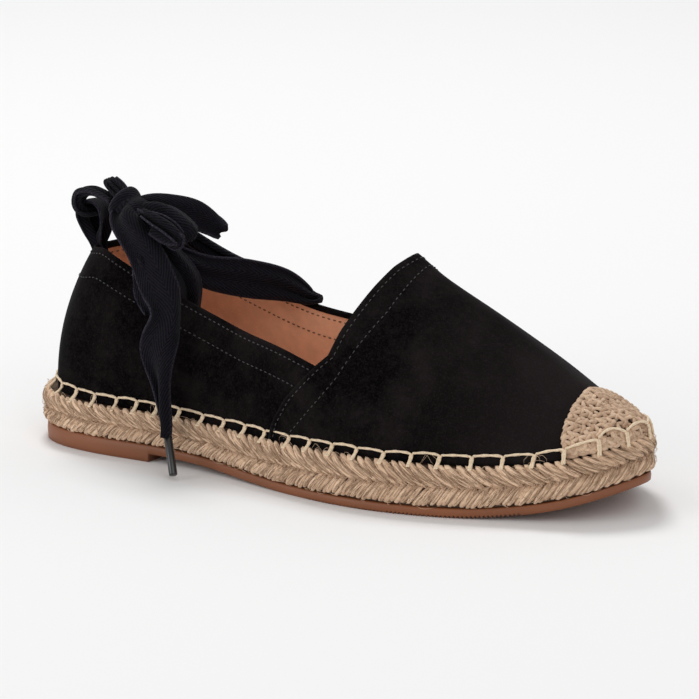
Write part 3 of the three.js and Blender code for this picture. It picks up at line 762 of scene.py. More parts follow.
TAIL_FRONT_ROUTE = np.array((
    (0.0472, -0.027, 0.092, 0.3, -0.9, 0.3, 0.72),
    (0.0577, -0.029, 0.0818, 0.3, -0.9, 0.4, 0.88),
    (0.0662, -0.0322, 0.0712, 0.3, -0.9, 0.4, 1),
    (0.073, -0.0365, 0.0605, 0.9, -0.5, 0, 0.8),
    (0.0706, -0.0385, 0.046, 0.3, -0.95, 0, 0.95),
    (0.0725, -0.0395, 0.033, 0.1, -1, 0, 0.55),
    (0.0757, -0.0412, 0.0205, 0, -1, -0.3, 0.4),
    (0.0769, -0.042, 0.0158, 0, -1, -0.3, 0.27),
    (0.0775, -0.0426, 0.0138, 0, -1, -0.3, 0.18),
))
TAIL_BACK_ROUTE = np.array((
    (0.0585, -0.022, 0.0855, 0.6, -0.7, 0.4, 0.35),
    (0.066, -0.0215, 0.0785, 0.6, -0.7, 0.3, 0.55),
    (0.0715, -0.0185, 0.069, 0.7, -0.7, 0.1, 0.62),
    (0.071, -0.017, 0.058, 0.7, -0.7, 0, 0.5),
    (0.0675, -0.016, 0.046, 0.6, -0.7, 0, 0.45),
    (0.0635, -0.014, 0.035, 0.4, -0.8, 0.3, 0.4),
    (0.0605, -0.0105, 0.0275, 0.3, -0.5, 0.8, 0.25),
))
LOOP_NEAR_ROUTE = np.array((
    (0.054, -0.0225, 0.0955, 0.1, -0.4, 0.9, 0.4),
    (0.061, -0.024, 0.0963, 0.3, -0.5, 0.8, 0.66),
    (0.069, -0.0245, 0.094, 0.5, -0.4, 0.8, 0.8),
    (0.0765, -0.0245, 0.089, 0.9, -0.2, 0.1, 0.7),
    (0.072, -0.024, 0.086, 0.2, 0.3, -0.9, 0.6),
    (0.062, -0.023, 0.0895, -0.2, 0.3, -0.9, 0.5),
    (0.0535, -0.0215, 0.091, -0.1, 0.3, -0.9, 0.3),
))
FOLD_ROUTE = np.array((           # the loop's front fold, below it
    (0.0585, -0.028, 0.0955, 0.2, -0.7, 0.7, 0.3),
    (0.0645, -0.0298, 0.0945, 0.4, -0.7, 0.6, 0.42),
    (0.0712, -0.0297, 0.0915, 0.7, -0.6, 0.4, 0.45),
    (0.0752, -0.0285, 0.087, 0.9, -0.2, -0.2, 0.4),
    (0.0695, -0.028, 0.0862, 0.1, -0.1, -0.9, 0.38),
    (0.061, -0.0266, 0.0885, -0.3, -0.1, -0.9, 0.3),
))
LOOP_FAR_ROUTE = np.array((
    (0.0452, -0.018, 0.0943, 0.5, -0.8, 0.3, 0.4),
    (0.0515, -0.015, 0.095, 0.5, -0.8, 0.3, 0.62),
    (0.058, -0.0101, 0.0937, 0.5, -0.8, 0.35, 0.74),
    (0.0647, -0.0051, 0.0915, 0.5, -0.8, 0.4, 0.74),
    (0.0697, -0.0012, 0.0875, 0.6, -0.7, 0.4, 0.6),
    (0.073, 0.0002, 0.0849, 0.8, -0.5, 0.1, 0.42),
    (0.0733, 0.0018, 0.0847, 0.5, 0.7, -0.5, 0.36),
    (0.069, 0.0018, 0.0868, -0.4, 0.8, -0.4, 0.5),
    (0.0625, -0.001, 0.0888, -0.4, 0.8, -0.3, 0.55),
    (0.056, -0.0072, 0.0911, -0.4, 0.8, -0.3, 0.5),
    (0.0515, -0.0115, 0.0925, -0.3, 0.8, -0.3, 0.4),
))
HEEL_LOOP_ROUTE = np.array((      # up the back of the heel, over the tie, and down in front
    (0.0165, -0.0005, 0.0705, -1, 0, 0, 0.3),
    (0.0148, -0.0005, 0.0745, -1, 0, -0.2, 0.34),
    (0.0126, -0.0005, 0.0795, -1, 0, -0.3, 0.66),
    (0.0102, 0, 0.085, -1, 0, 0, 0.95),
    (0.011, 0, 0.0893, -0.8, 0, 0.5, 1),
    (0.0152, 0, 0.0912, 0, 0, 1, 1),
    (0.0196, 0, 0.0893, 0.8, 0, 0.5, 1),
    (0.0204, 0, 0.085, 1, 0, 0, 0.95),
    (0.019, 0, 0.0795, 1, 0, -0.3, 0.75),
    (0.0168, 0, 0.0745, 1, 0, -0.2, 0.4),
    (0.0172, 0, 0.0705, 1, 0, 0, 0.3),
))
TAB_ROUTE = np.array((            # the tape's end that looks out over the knot
    (0.042, -0.0185, 0.0985, 0.35, -0.85, 0.25, 0.34),
    (0.0378, -0.017, 0.1008, 0.35, -0.85, 0.25, 0.4),
    (0.0335, -0.0155, 0.1027, 0.35, -0.85, 0.25, 0.36),
    (0.0322, -0.0135, 0.1025, -0.3, 0.2, 0.9, 0.3),
    (0.036, -0.0142, 0.1, -0.3, 0.8, 0.3, 0.3),
))
TURNED_EDGE_ROUTE = np.array((    # the front tail's edge where it is folded back on itself
    (0.0565, -0.0308, 0.0785, 0.3, -0.9, 0.3, 0.5),
    (0.0592, -0.0318, 0.072, 0.3, -0.9, 0.2, 0.9),
    (0.0612, -0.0332, 0.0655, 0.3, -0.9, 0.1, 1),
    (0.0655, -0.035, 0.06, 0.5, -0.85, 0, 0.7),
))
KNOT_MIDDLE = (0.0445, -0.0195, 0.094)
KNOT_HALF_SIZES = (0.0062, 0.005, 0.0052)
WRAP_MIDDLE = (0.0469, -0.0189, 0.0926)       # the turn of tape that holds the bow together
WRAP_AXIS = (0.85, -0.25, -0.45)
WRAP_RADIUS, WRAP_GROWTH = 0.0056, 0.0007     # the radius at its start, and how much it gains in the turn
WRAP_TAPE = 0.0185                # width of the tape there, laid flat
AGLET_FRONT = ((0.0769, -0.0421, 0.0154), (0.0842, -0.049, 0.0019))
AGLET_BACK = ((0.06, -0.0095, 0.0264), (0.054, 0.006, 0.024))


TAPE_STEP = 0.0011                # length of a face along the tape
TAPE_FACES = 24                   # faces across it
NARROWEST = 0.12                  # least share of its width that it takes
RIPPLE, RIPPLE_LENGTH = 0.0003, 0.007


def line_length(line):
    return float(run_of(line)[-1])


def pleat_height(share, pleats, width):
    """How high a tape's pleats stand when it takes a share of its width and keeps its real width."""
    steep = np.sqrt(2) * np.sqrt(np.maximum((1 / share) ** 2 - 1, 0))
    return steep * share * width / (2 * math.pi * pleats)


def ribbon(name, route, pleats=1.0, phase=0.0, camber=0.0, full=None, depth=1.0):
    """A length of twill tape along a route, folded lengthwise where it is narrow.

    A depth under 1 presses the folds flat, and a camber arches the tape over its width.
    """
    full = full or sizes().tape_width
    length = line_length(spline(route[:, :3], 400))
    count = max(12, int(length / TAPE_STEP))
    line = spline(route[:, :3], count)
    # in millimetres, so that the spacing follows the places and hardly the other columns
    extra = spline(np.column_stack((route[:, :3] * 1000, route[:, 3:])), count)[:, 3:]
    along = normalized(np.gradient(line, axis=0))
    side = normalized(np.cross(normalized(extra[:, :3]), along))
    share = np.clip(extra[:, 3], NARROWEST, 1.0)
    rows = np.column_stack((line, side, np.cross(along, side), share, pleat_height(share, pleats, full)))
    bm, at = grid(TAPE_FACES, count - 1)
    row = at[:, 0] * (count - 1)
    v = at[:, 1] - 0.5
    middle, side, face, (share, pleat) = np.split(sampled(rows, np.arange(count), row).T, (3, 6, 9))
    fold = depth * pleat * np.sin(2 * math.pi * pleats * v + phase)
    bow = camber * (1 - 4 * v * v)
    wave = RIPPLE * np.sin(row * TAPE_STEP / RIPPLE_LENGTH + 5 * v + phase) * share
    place_points(bm, settled((middle + side * share * full * v + face * (fold + bow + wave)).T))
    scale_uvs(bm, length, full)
    piece = finished(name, bm, finish("twill"))
    return solidified(piece, sizes().tape_thickness, 0.0)


def aglet(name, ends):
    """A rounded tip from one place to another."""
    start, end = (Vector(p) for p in settled(ends))
    way = end - start
    bm = bmesh.new()
    radius = sizes().aglet_width / 2
    bmesh.ops.create_cone(bm, segments=20, radius1=radius, radius2=radius, depth=way.length, cap_ends=True)
    rims = [edge for edge in bm.edges if any(len(face.verts) > 4 for face in edge.link_faces)]
    bmesh.ops.bevel(bm, geom=rims, affect="EDGES", offset=0.0004, segments=2, profile=0.5, material=-1)
    turn = way.to_track_quat("Z", "Y").to_matrix().to_4x4()
    bmesh.ops.transform(bm, matrix=Matrix.Translation((start + end) / 2) @ turn, verts=bm.verts[:])
    return finished(name, bm, finish("plastic"))


def from_knot(route, share):
    """A tail's route, begun in the middle of the knot."""
    return np.vstack(((*KNOT_MIDDLE, *route[0, 3:6], share), route))


def wrap_route():
    """The turn of tape round the knot, across the loops."""
    axis = normalized(np.array(WRAP_AXIS))
    first = normalized(np.cross(axis, (0, -1, 0.2)))
    turn = np.linspace(0, 2 * math.pi, 15)[:, None]
    way = np.cos(turn) * first + np.sin(turn) * np.cross(axis, first)
    spot = WRAP_MIDDLE + way * (WRAP_RADIUS + WRAP_GROWTH * turn / (2 * math.pi))
    return np.hstack((spot, way, 0.86 + 0.1 * np.sin(turn)))


def dressed(piece, slot, *nodes):
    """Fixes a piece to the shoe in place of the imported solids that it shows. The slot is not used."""
    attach(piece, "root")
    for node in nodes:
        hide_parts(node)
    return piece


def tape(name, node, route, **folds):
    """A ribbon of the tie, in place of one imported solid."""
    return dressed(ribbon(name, route, **folds), "twill", node)


def make_tie():
    """The tape round the ankle, its bow and both tails with their aglets."""
    tail, inner_tail = from_knot(TAIL_FRONT_ROUTE, 0.75), from_knot(TAIL_BACK_ROUTE, 0.3)
    tape("twill_strap", "tie_strap", STRAP_ROUTE, pleats=2.0)
    front = tape("twill_tail_front", "tie_tail_front", tail, camber=0.0012)
    back = tape("twill_tail_back", "tie_tail_back", inner_tail, pleats=1.5)
    turned = tape("twill_tail_fold", "tie_tail_front", TURNED_EDGE_ROUTE, full=0.0085)
    near = tape("bow_loop_near", "tie_loop_near", LOOP_NEAR_ROUTE, pleats=1.5)
    fold = tape("bow_front_fold", "tie_loop_near", FOLD_ROUTE, pleats=1.5, phase=1.0)
    far = tape("bow_loop_far", "tie_loop_far", LOOP_FAR_ROUTE, depth=0.35)
    ear = tape("bow_ear", "tie_ear", TAB_ROUTE, pleats=3.0)
    wrap = tape("bow_knot_wrap", "tie_knot", wrap_route(), pleats=2.0, phase=0.6, full=WRAP_TAPE, depth=0.5)
    bm = bmesh.new()
    bm.loops.layers.uv.new("UVMap")
    bmesh.ops.create_icosphere(bm, subdivisions=4, radius=1, calc_uvs=True)
    scale_uvs(bm, 0.04, 0.012)
    bmesh.ops.transform(bm, matrix=Matrix.Translation(settled(KNOT_MIDDLE))
                        @ Matrix.Diagonal((*KNOT_HALF_SIZES, 1)), verts=bm.verts[:])
    knot = dressed(finished("bow_knot", bm, finish("twill")), "twill", "tie_knot")
    tip = dressed(aglet("aglet_at_front", AGLET_FRONT), "aglet_plastic", "aglet_front")
    inner_tip = dressed(aglet("aglet_inside", AGLET_BACK), "aglet_plastic", "aglet_back")
    hang(tail)
    hang(inner_tail)


def hang(route):
    """Works out a tail's path in the frame, which is not used further."""
    path = [tuple(point) for point in settled(spline(route[:, :3], 40))]


def make_heel_loop():
    """The tape loop that stands on the heel and holds the tie."""
    tape("heel_loop_tape", "heel_loop", HEEL_LOOP_ROUTE, pleats=1.5, full=sizes().heel_loop_width)


# ---- pieces ------------------------------------------------------------------------------

QUARTER_END_X = 0.1465            # where the quarter ends, under the vamp
LINING_END_X = 0.165
LINING_BACK_DEPTH, LINING_FRONT_DEPTH = 0.0013, 0.0017        # how far the lining lies inside the last
ROLL_FROM = 0.9                   # share of the quarter's rows below its rolled edge
ROLL_RADIUS = 0.0008
ROLL_HANG = 0.0014                # how far the rolled edge goes down inside
TUCK_X, TUCK_LENGTH, TUCK = 0.118, 0.02, 0.0009               # where and how far it sinks under the vamp
STEP_FADE = 0.045                 # how soon the vamp's folded edge meets the last, as a share of its length
SUEDE = 0.0012                    # thickness of the vamp's suede
QUARTER_SIZE, VAMP_SIZE = (0.3, 0.06), (0.12, 0.15)           # rough length and width, for the texture


def quarter_span(end):
    """Places along the outline, from the outer side back round the heel, where x is end."""
    inner_run = FOOT[FOOT_TOE:][::-1]
    outer = np.interp(end, FOOT[:FOOT_TOE, 0], np.arange(FOOT_TOE)) * STEP
    inner = AROUND - np.interp(end, inner_run[:, 0], np.arange(len(inner_run))) * STEP
    return outer, inner - AROUND


def quarter_point(s, up):
    """Point of the last behind the vamp; up is 0 at the foot and 1 where the topline's roll starts."""
    return spoke_point(s, lambda x: foot_height(x) + (topline(x) - ROLL_RADIUS - foot_height(x)) * up)


def quarter_normal(s, up):
    """Normal of the quarter, which points away from the foot."""
    here = quarter_point(s, up)
    ahead = quarter_point(s + 0.0008, up)
    above = quarter_point(s, np.clip(up + 0.02, 0, 1.02))
    return normalized(np.cross(ahead - here, above - here))


def make_quarter():
    """The suede round the heel and both sides, with its rolled topline."""
    first, last = quarter_span(QUARTER_END_X)
    bm, at = grid(44, 300)
    s = first + (last - first) * at[:, 0]
    up = np.clip(at[:, 1] / ROLL_FROM, 0, 1)
    roll = np.clip((at[:, 1] - ROLL_FROM) / (1 - ROLL_FROM), 0, 1)
    turn = np.clip(roll * 1.5, 0, 1) * math.pi
    points, normal = quarter_point(s, up), quarter_normal(s, up)
    points = points + normal * (ROLL_RADIUS * (np.cos(turn) - 1))[:, None]
    points[:, 2] += ROLL_RADIUS * np.sin(turn) - np.clip(roll * 3 - 2, 0, 1) * ROLL_HANG
    under = np.clip((points[:, 0] - TUCK_X) / TUCK_LENGTH, 0, 1)
    points = points - normal * (TUCK * under * (roll == 0))[:, None]
    return sheet("suede_quarter", bm, points, QUARTER_SIZE, "suede", turned=True)


def make_lining():
    """The leather that lines the quarter and the vamp, a little inside their surfaces."""
    first, last = quarter_span(LINING_END_X)
    bm, at = grid(26, 240)
    s, up = first + (last - first) * at[:, 0], at[:, 1] * 0.985
    points = quarter_point(s, up) - quarter_normal(s, up) * LINING_BACK_DEPTH
    dressed(sheet("lining_back", bm, points, QUARTER_SIZE, "lining"), "insole_leather")
    bm, at = grid(60, 70)
    along, across = 0.012 + 0.96 * at[:, 0], at[:, 1]
    points = held_off(vamp_point, along, across, -LINING_FRONT_DEPTH)
    dressed(sheet("lining_front", bm, points, VAMP_SIZE, "lining", turned=True), "insole_leather")


def edge_x(turn, edge, low, high):
    """x where an edge, drawn in the side view, crosses each line along the last."""
    return crossing(lambda x: x <= np.interp(arch_point(x, turn)[..., 2], edge[:, 1], edge[:, 0]),
                    np.full_like(turn, low), np.full_like(turn, high))


def vamp_edge_x(turn, edge=VAMP_EDGE):
    """x of the vamp's back edge, or of a row sewn along it, on each line of the last."""
    return edge_x(turn, edge, 0.112, 0.17)


def vamp_point(along, across):
    """Point of the last under the vamp, from its back edge (along 0) to the toe (along 1)."""
    turn = -np.cos(math.pi * across)
    back = vamp_edge_x(turn)
    return arch_point(back + (FOOT_TIP - back) * np.sin(along * math.pi / 2), turn)


def surface_normal(surface, along, across, step=0.002):
    """Upward normal of a surface of the last, at places on it that run from 0 to 1."""
    ahead = surface(np.clip(along + step, 0, 1), across) - surface(np.clip(along - step, 0, 1), across)
    beside = surface(along, np.clip(across + step, 0, 1)) - surface(along, np.clip(across - step, 0, 1))
    normal = np.cross(ahead, beside)
    normal /= np.maximum(np.linalg.norm(normal, axis=1)[:, None], 1e-12)
    return normal * np.where(normal[:, 2:] < -0.2, -1, 1)


def held_off(surface, along, across, out):
    """Points held off a surface of the last."""
    return surface(along, across) + surface_normal(surface, along, across) * np.reshape(out, (-1, 1))


def edge_step(along):
    """How far the vamp stands off the last."""
    return sizes().vamp_step * np.exp(-along / STEP_FADE)


def make_vamp():
    """The suede over the toes, whose folded back edge stands over the quarter."""
    bm, at = grid(96, 110)
    points = held_off(vamp_point, at[:, 0], at[:, 1], edge_step(at[:, 0]))
    return solidified(sheet("suede_vamp", bm, points, VAMP_SIZE, "suede"), SUEDE, -1.0)


def make_uppers():
    """Both parts of the suede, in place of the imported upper."""
    for piece in (make_quarter(), make_vamp()):
        dressed(piece, "suede", "upper")


def ring_body(name, profile, columns, material):
    """A body round the sole that reaches in to its middle line, from a profile with a row for each ring.

    A row holds an offset outwards, a share of the way in to the sole's middle line, and a height as a
    function of x and of the place along the outline.
    """
    bm, at = grid(len(profile) - 1, columns)
    s = at[:, 0] * AROUND
    row = np.rint(at[:, 1] * (len(profile) - 1)).astype(int)
    points = np.zeros((len(s), 3))
    for k, (offset, share, height) in enumerate(profile):
        here = row == k
        root = on_ring(OUTLINE, s[here]) + on_ring(OUTWARD, s[here]) * offset
        spot = root * (1 - share) + hub_at(root[:, 0], SOLE_HUB_SPAN) * share
        points[here] = np.column_stack((spot, height(spot[:, 0], s[here])))
    place_points(bm, settled(points))
    scale_uvs(bm, AROUND, 0.02)
    bmesh.ops.remove_doubles(bm, verts=bm.verts[:], dist=1e-6)
    bmesh.ops.recalc_face_normals(bm, faces=bm.faces[:])
    return finished(name, bm, finish(material))


TOOTH_PITCH, TOOTH_DEPTH = 0.0016, 0.0007
TOOTHED_FROM, TOOTHED_TO = 0.14, 0.225        # x of the rubber's toothed edge


def make_outsole():
    """The rubber sole and its heel lift, toothed round the forefoot's edge."""
    def bottom(x, s):
        return np.where(x <= BREAST_X + GAP, 0.0, arch_lift(x) + toe_spring(x))

    def toothed(x, s):
        tooth = (np.sin(2 * math.pi * s / TOOTH_PITCH) > 0.2) * (x > TOOTHED_FROM) * (x < TOOTHED_TO)
        return bottom(x, s) + TOOTH_DEPTH * tooth

    def over_teeth(x, s):
        return toothed(x, s) + 0.0002

    def level(share):
        return lambda x, s: bottom(x, s) + (rubber_top(x) - bottom(x, s)) * share

    top = level(1.0)
    profile = [(-0.001, 1.0, top), (-0.002, 0.0, top), (-0.0004, 0.0, top), (0.0, 0.0, level(0.9)),
               (0.0002, 0.0, level(0.6)), (0.0001, 0.0, level(0.35)), (0.0, 0.0, over_teeth),
               (-0.0004, 0.0, toothed), (-0.003, 0.0, bottom), (-0.003, 0.5, bottom), (-0.003, 1.0, bottom)]
    dressed(ring_body("rubber_outsole", profile, 1500, "rubber"), "outsole_rubber", "outsole")


def band_height(s):
    """Height of the jute band at s along the outline."""
    return jute_height(on_ring(OUTLINE, s)[..., 0])


def band_point(s, z, out):
    """Point on the jute band: z over its foot, out over the sole's outline."""
    root = on_ring(OUTLINE, s)
    at = root + on_ring(OUTWARD, s) * np.asarray(out)[..., None]
    return np.concatenate((at, (rubber_top(root[..., 0]) + GAP + z)[..., None]), -1)


def band_normal(s, rise=0.0):
    """Directions out of the jute band, which may rise a little."""
    return np.column_stack((on_ring(OUTWARD, s), np.full(len(s), rise)))


# The braid's two tiers. pitch is a share of the braid's pitch, reach is half a strand's length along the
# outline, rise is the share of the band's height that it climbs, and yarns is how many fine ones lie on it.
TIERS = {
    "lower": {"pitch": 0.62, "reach": 0.0036, "rise": 0.54, "bulge_from": 0.12, "lean": -0.12,
              "half_width": 0.0011, "half_height": 0.00115, "yarns": 11},
    "upper": {"pitch": 1.0, "reach": 0.0056, "rise": -0.6, "bulge_from": 0.0, "lean": 0.12,
              "half_width": 0.00135, "half_height": 0.0013, "yarns": 22},
}


def braid_strand(rng, middle, tier):
    """Centre line, upward directions and half sizes of one strand of the braid."""
    reach = tier["reach"] + rng.uniform(-0.0006, 0.0006)
    start = rng.uniform(-0.02, 0.05) if tier["rise"] > 0 else 1.05
    t = np.linspace(0, 1, 12)
    s = middle + reach * (2 * t - 1)
    z = float(band_height(middle)) * (start + tier["rise"] * t)
    bulge = np.sin(math.pi * np.clip(t + tier["bulge_from"], 0.02, 0.98)) ** 0.8
    out = -0.0016 + (0.0020 + rng.uniform(-0.0002, 0.0003)) * bulge
    half_width = tier["half_width"] * rng.uniform(0.85, 1.2)
    return band_point(s, z, out), band_normal(s, tier["lean"]), half_width, tier["half_height"]


def fibre_on(rng, line, up, half, high):
    """A fibre that lies on a strand and winds a little way round it."""
    first = rng.uniform(0, 0.4)
    t = np.linspace(first, rng.uniform(0.7, 1.0), 7)
    side = normalized(np.cross(up, np.gradient(line, axis=0)))
    turn = rng.uniform(-1.7, 1.7) + rng.uniform(-0.6, 1.6) * (t - first)
    body = np.sin(math.pi * np.clip(t, 0.06, 0.94)) ** 0.35 * rng.uniform(0.95, 1.2)
    places = np.arange(len(line)), t * (len(line) - 1)
    middle, beside, over = (sampled(table, *places) for table in (line, side, up))
    spot = middle + (beside.T * np.sin(turn) * half * body + over.T * np.cos(turn) * high * body).T
    thick = rng.uniform(0.00007, 0.00016)
    return along_line(spot, over, thick, thick)


def strand_body(along, turn):
    """Radius of a strand, with the grooves between its yarns."""
    body = np.sin(math.pi * np.clip(along, 0.03, 0.97)) ** 0.3
    return body * (1 + 0.09 * np.cos(4 * turn + 5 * along) + 0.05 * np.cos(7 * turn - 9 * along))


def make_braid():
    """The jute braid round the sole: two tiers of strands over a core dark with painted shade, and the yarns
    on them.
    """
    def level(share):
        return lambda x, s: rubber_top(x) + GAP + jute_height(x) * share

    # A core in painted shade, which darkens the gaps between the strands.
    pieces = [ring_body("jute_core", [
        (-0.001, 1.0, level(0.0)), (-0.0012, 0.0, level(0.0)), (-0.0004, 0.0, level(0.25)),
        (-0.0012, 0.0, level(0.5)), (-0.0004, 0.0, level(0.75)), (-0.0014, 0.0, level(0.96)),
        (-0.001, 1.0, level(0.96))], 400, "jute_core")]
    rng = random.Random(SEED)
    for name, tier in TIERS.items():
        count = int(AROUND / (sizes().braid_pitch * tier["pitch"]))
        bends, tones, lying, shades = [], [], [], []
        for k in range(count):
            strand = braid_strand(rng, k * AROUND / count + rng.uniform(-0.0004, 0.0004), tier)
            bends.append(along_line(*strand))
            tones.append(rng.random() * 0.6)
            for _ in range(tier["yarns"]):
                lying.append(fibre_on(rng, *strand))
                shades.append(rng.random())
        strand_unit, yarn_unit = tube_unit(11, 14, strand_body), tube_unit(5, 3)
        pieces.append(copies("jute_braid_" + name, strand_unit, bends, finish("jute"), tones))
        pieces.append(copies("jute_yarn_" + name, yarn_unit, lying, finish("jute_fibre"), shades))
    for piece in pieces:
        dressed(piece, "jute", "jute_midsole")


LONG_FIBRES, CURLS, SHORT_FIBRES = 700, 45, 7000
CURL_RADIUS = 0.00006


def make_fibres():
    """Loose jute fibres: long ones that stand off the braid, curls over its rim, and short ones on it."""
    rng = random.Random(SEED + 3)
    bends, tones = [], []
    t = np.linspace(0, 1, 7)
    hump = np.sin(math.pi * t)

    def lay(s, z, out, thick):
        bends.append(along_line(band_point(s, z, out), band_normal(s), thick, thick))

    for _ in range(LONG_FIBRES):
        s0 = rng.uniform(0, AROUND)
        height = float(band_height(s0))
        z0 = height * rng.uniform(0.02, 1.02)
        length = rng.uniform(0.003, 0.010)
        lean = math.radians(rng.gauss(32, 22)) * (1 if z0 < height / 2 else -1)
        s = s0 + length * math.cos(lean) * t
        z = z0 + length * math.sin(lean) * t + rng.uniform(-0.0012, 0.0012) * hump
        out = 0.0012 + rng.uniform(0, 0.0005) + abs(rng.gauss(0, 0.0006)) * hump ** 2
        out = out - 0.0016 * (np.abs(2 * t - 1) ** 3)
        lay(s, np.clip(z, 0.0, height + 0.0022), out, rng.uniform(0.00005, 0.0001))
        tones.append(rng.random())
    for _ in range(CURLS):
        s0 = rng.uniform(0, AROUND)
        length, rise = rng.uniform(0.002, 0.009), rng.uniform(0.001, 0.0055)
        z = float(band_height(s0)) - 0.0006 + rise * hump ** rng.uniform(0.6, 1.4)
        s = s0 + length * t + rng.uniform(-0.0012, 0.0012) * np.sin(2 * math.pi * t)
        lay(s, z, -0.001 + 0.0008 * hump, CURL_RADIUS)
        tones.append(rng.uniform(0.6, 1))
    for _ in range(SHORT_FIBRES):
        s0 = rng.uniform(0, AROUND)
        height = float(band_height(s0))
        z0 = height * rng.uniform(0.03, 1.0)
        length = rng.uniform(0.0012, 0.0036)
        lean = math.radians(rng.gauss(36, 38)) * (1 if z0 < height * 0.52 else -1)
        s = s0 + length * math.cos(lean) * t
        z = np.clip(z0 + length * math.sin(lean) * t, 0, height + 0.0008)
        out = 0.0002 + rng.uniform(0, 0.0006) + rng.uniform(0.0001, 0.0006) * hump
        lay(s, z, out, rng.uniform(0.00006, 0.00012))
        tones.append(rng.random())
    dressed(copies("jute_loose_fibres", tube_unit(5, 3), bends, finish("fibre"), tones), "jute")


# Where the blanket stitch's corners lie along the outline: listed on the outer side, then evenly.
STITCH_CORNERS = (0.024, 0.035, 0.046, 0.056, 0.067, 0.0765, 0.086, 0.0965, 0.1075, 0.118, 0.1295, 0.140,
                  0.153, 0.1635, 0.1745, 0.1855, 0.197, 0.208, 0.219, 0.231, 0.2425, 0.254, 0.2655, 0.2785,
                  0.2895)
LOOSE_STITCHES = {22: 0.0003, 23: 0.0018, 24: 0.0012, 25: 0.001}     # how far these threads bow up
STITCHES_AROUND = 54
STITCH_LIFT = np.array((          # height of the top thread over the upper's foot: along the outline, lift
    (0.0, 0.0042), (0.05, 0.0040), (0.10, 0.0034), (0.20, 0.0031), (0.266, 0.0034), (0.2785, 0.0038),
    (0.2895, 0.004), (0.301, 0.0043), (0.312, 0.004), (0.34, 0.0034), (0.45, 0.0031), (0.56, 0.0040),
    (0.60, 0.0042),
))
BESIDE = 0.0003                   # half the distance between the two threads down from a corner


def two_ply(along, turn, depth=0.16, twist=16, taper=14, blunt=0.45):
    """Radius of a yarn of two plies with blunt ends. A higher taper makes the ends shorter."""
    ends = np.clip(np.minimum(along, 1 - along) * taper + blunt, 0, 1)
    return ends * (1 + depth * np.cos(2 * turn - twist * along))


def cap_share(s):
    """1 where the foot at s lies under the crochet, 0 under bare suede."""
    return np.clip((on_ring(FOOT, s)[:, 0] - 0.2355) / 0.002, 0, 1)


def stitch_corners(rng):
    """Places of the corners all the way round."""
    last = STITCH_CORNERS[-1]
    left = STITCHES_AROUND - len(STITCH_CORNERS)
    pitch = (AROUND + STITCH_CORNERS[0] - last) / (left + 1)
    return list(STITCH_CORNERS) + [last + pitch * (k + 1) + rng.uniform(-0.0006, 0.0006) for k in range(left)]


def make_blanket_stitch():
    """The pale thread that sews the upper to the jute."""
    rng = random.Random(SEED + 1)
    corners = stitch_corners(rng)
    lifts = [float(np.interp(s % AROUND, STITCH_LIFT[:, 0], STITCH_LIFT[:, 1])) + rng.uniform(-0.0003, 0.0003)
             for s in corners]
    bends, tones = [], []

    def thread(line, normal):
        half = sizes().thread_width / 2 * rng.uniform(0.93, 1.08)
        bends.append(along_line(line, normal, half, half))
        tones.append(rng.random())

    for k, s0 in enumerate(corners):
        following = (k + 1) % len(corners)
        s1 = corners[following] + (AROUND if following == 0 else 0)
        t = np.linspace(0, 1, 15)
        bow = LOOSE_STITCHES.get(k, rng.uniform(0.0002, 0.0007))
        s = s0 + (s1 - s0) * (1.05 * t - 0.02)
        lift = lifts[k] + (lifts[following] - lifts[k]) * t + bow * np.sin(math.pi * t)
        lift = lift - 0.0006 * np.clip((t - 0.75) / 0.25, 0, 1) ** 2
        thread(*skin_over_foot(s, lift, 0.0005 + 0.0032 * cap_share(s)))
        for beside in (-BESIDE, BESIDE):
            t = np.linspace(0, 1, 9)
            s = s0 + beside - rng.uniform(0.0003, 0.0012) * t
            top, normal = skin_over_foot(s, lifts[k] * (1 - t), 0.0008 + 0.0029 * cap_share(s))
            foot = band_point(s, band_height(s) + 0.0003 - 0.0009 * t, 0.0002 + 0.0009 * t)
            share = np.clip((t - 0.4) / 0.55, 0, 1)[:, None]
            thread(top * (1 - share) + foot * share, normal)
    dressed(copies("blanket_stitch", tube_unit(14, 8, two_ply), bends, finish("whip"), tones), "jute")


CAP_HEM = 0.0028                  # how far the toe cap's hem stands over the upper's foot
CAP_TURN = 0.985                  # the turn of the last at which the hem starts


def cap_point(along, across):
    """Point of the last under the toe cap, from its back edge (along 0) to its hem (along 1)."""
    turn = -CAP_TURN * np.cos(math.pi * across)
    back = edge_x(turn, CAP_EDGE, 0.216, 0.25)
    hem = crossing(lambda x: arch_point(x, turn)[..., 2] - foot_height(x) > CAP_HEM,
                   back, np.full_like(turn, FOOT_TIP))
    return arch_point(back + (hem - back) * np.sin(along * math.pi / 2), turn)


# One crochet stitch in stitch widths: along the row, towards the toe, and up.
CROCHET_STRANDS = (
    ((-0.60, -0.55, 0.10), (-0.46, -0.25, 0.40), (-0.24, 0.12, 0.50), (-0.06, 0.45, 0.22)),
    ((0.58, -0.55, 0.10), (0.44, -0.22, 0.38), (0.24, 0.14, 0.52), (0.08, 0.45, 0.22)),
    ((-0.5, 0.36, 0.14), (-0.18, 0.54, 0.50), (0.22, 0.52, 0.50), (0.54, 0.34, 0.14)),
)
CHAINS = ((0.0, 0.0013, 0.0009), (0.985, 0.0014, 0.0008))     # place along the cap, rise, half width
CHAIN_LINK = 0.0029
FIRST_ROW = 0.0016                # from the cap's back edge
ROW_SAMPLES = 400                 # points that stand for a row of stitches
YARN_HALF_WIDTH = 0.00078
GROUND_LIFT = 0.0005              # how far the ground under the stitches, dark with painted shade, stands off the last
CAP_SIZE = (0.03, 0.08)           # rough length and width, for the texture


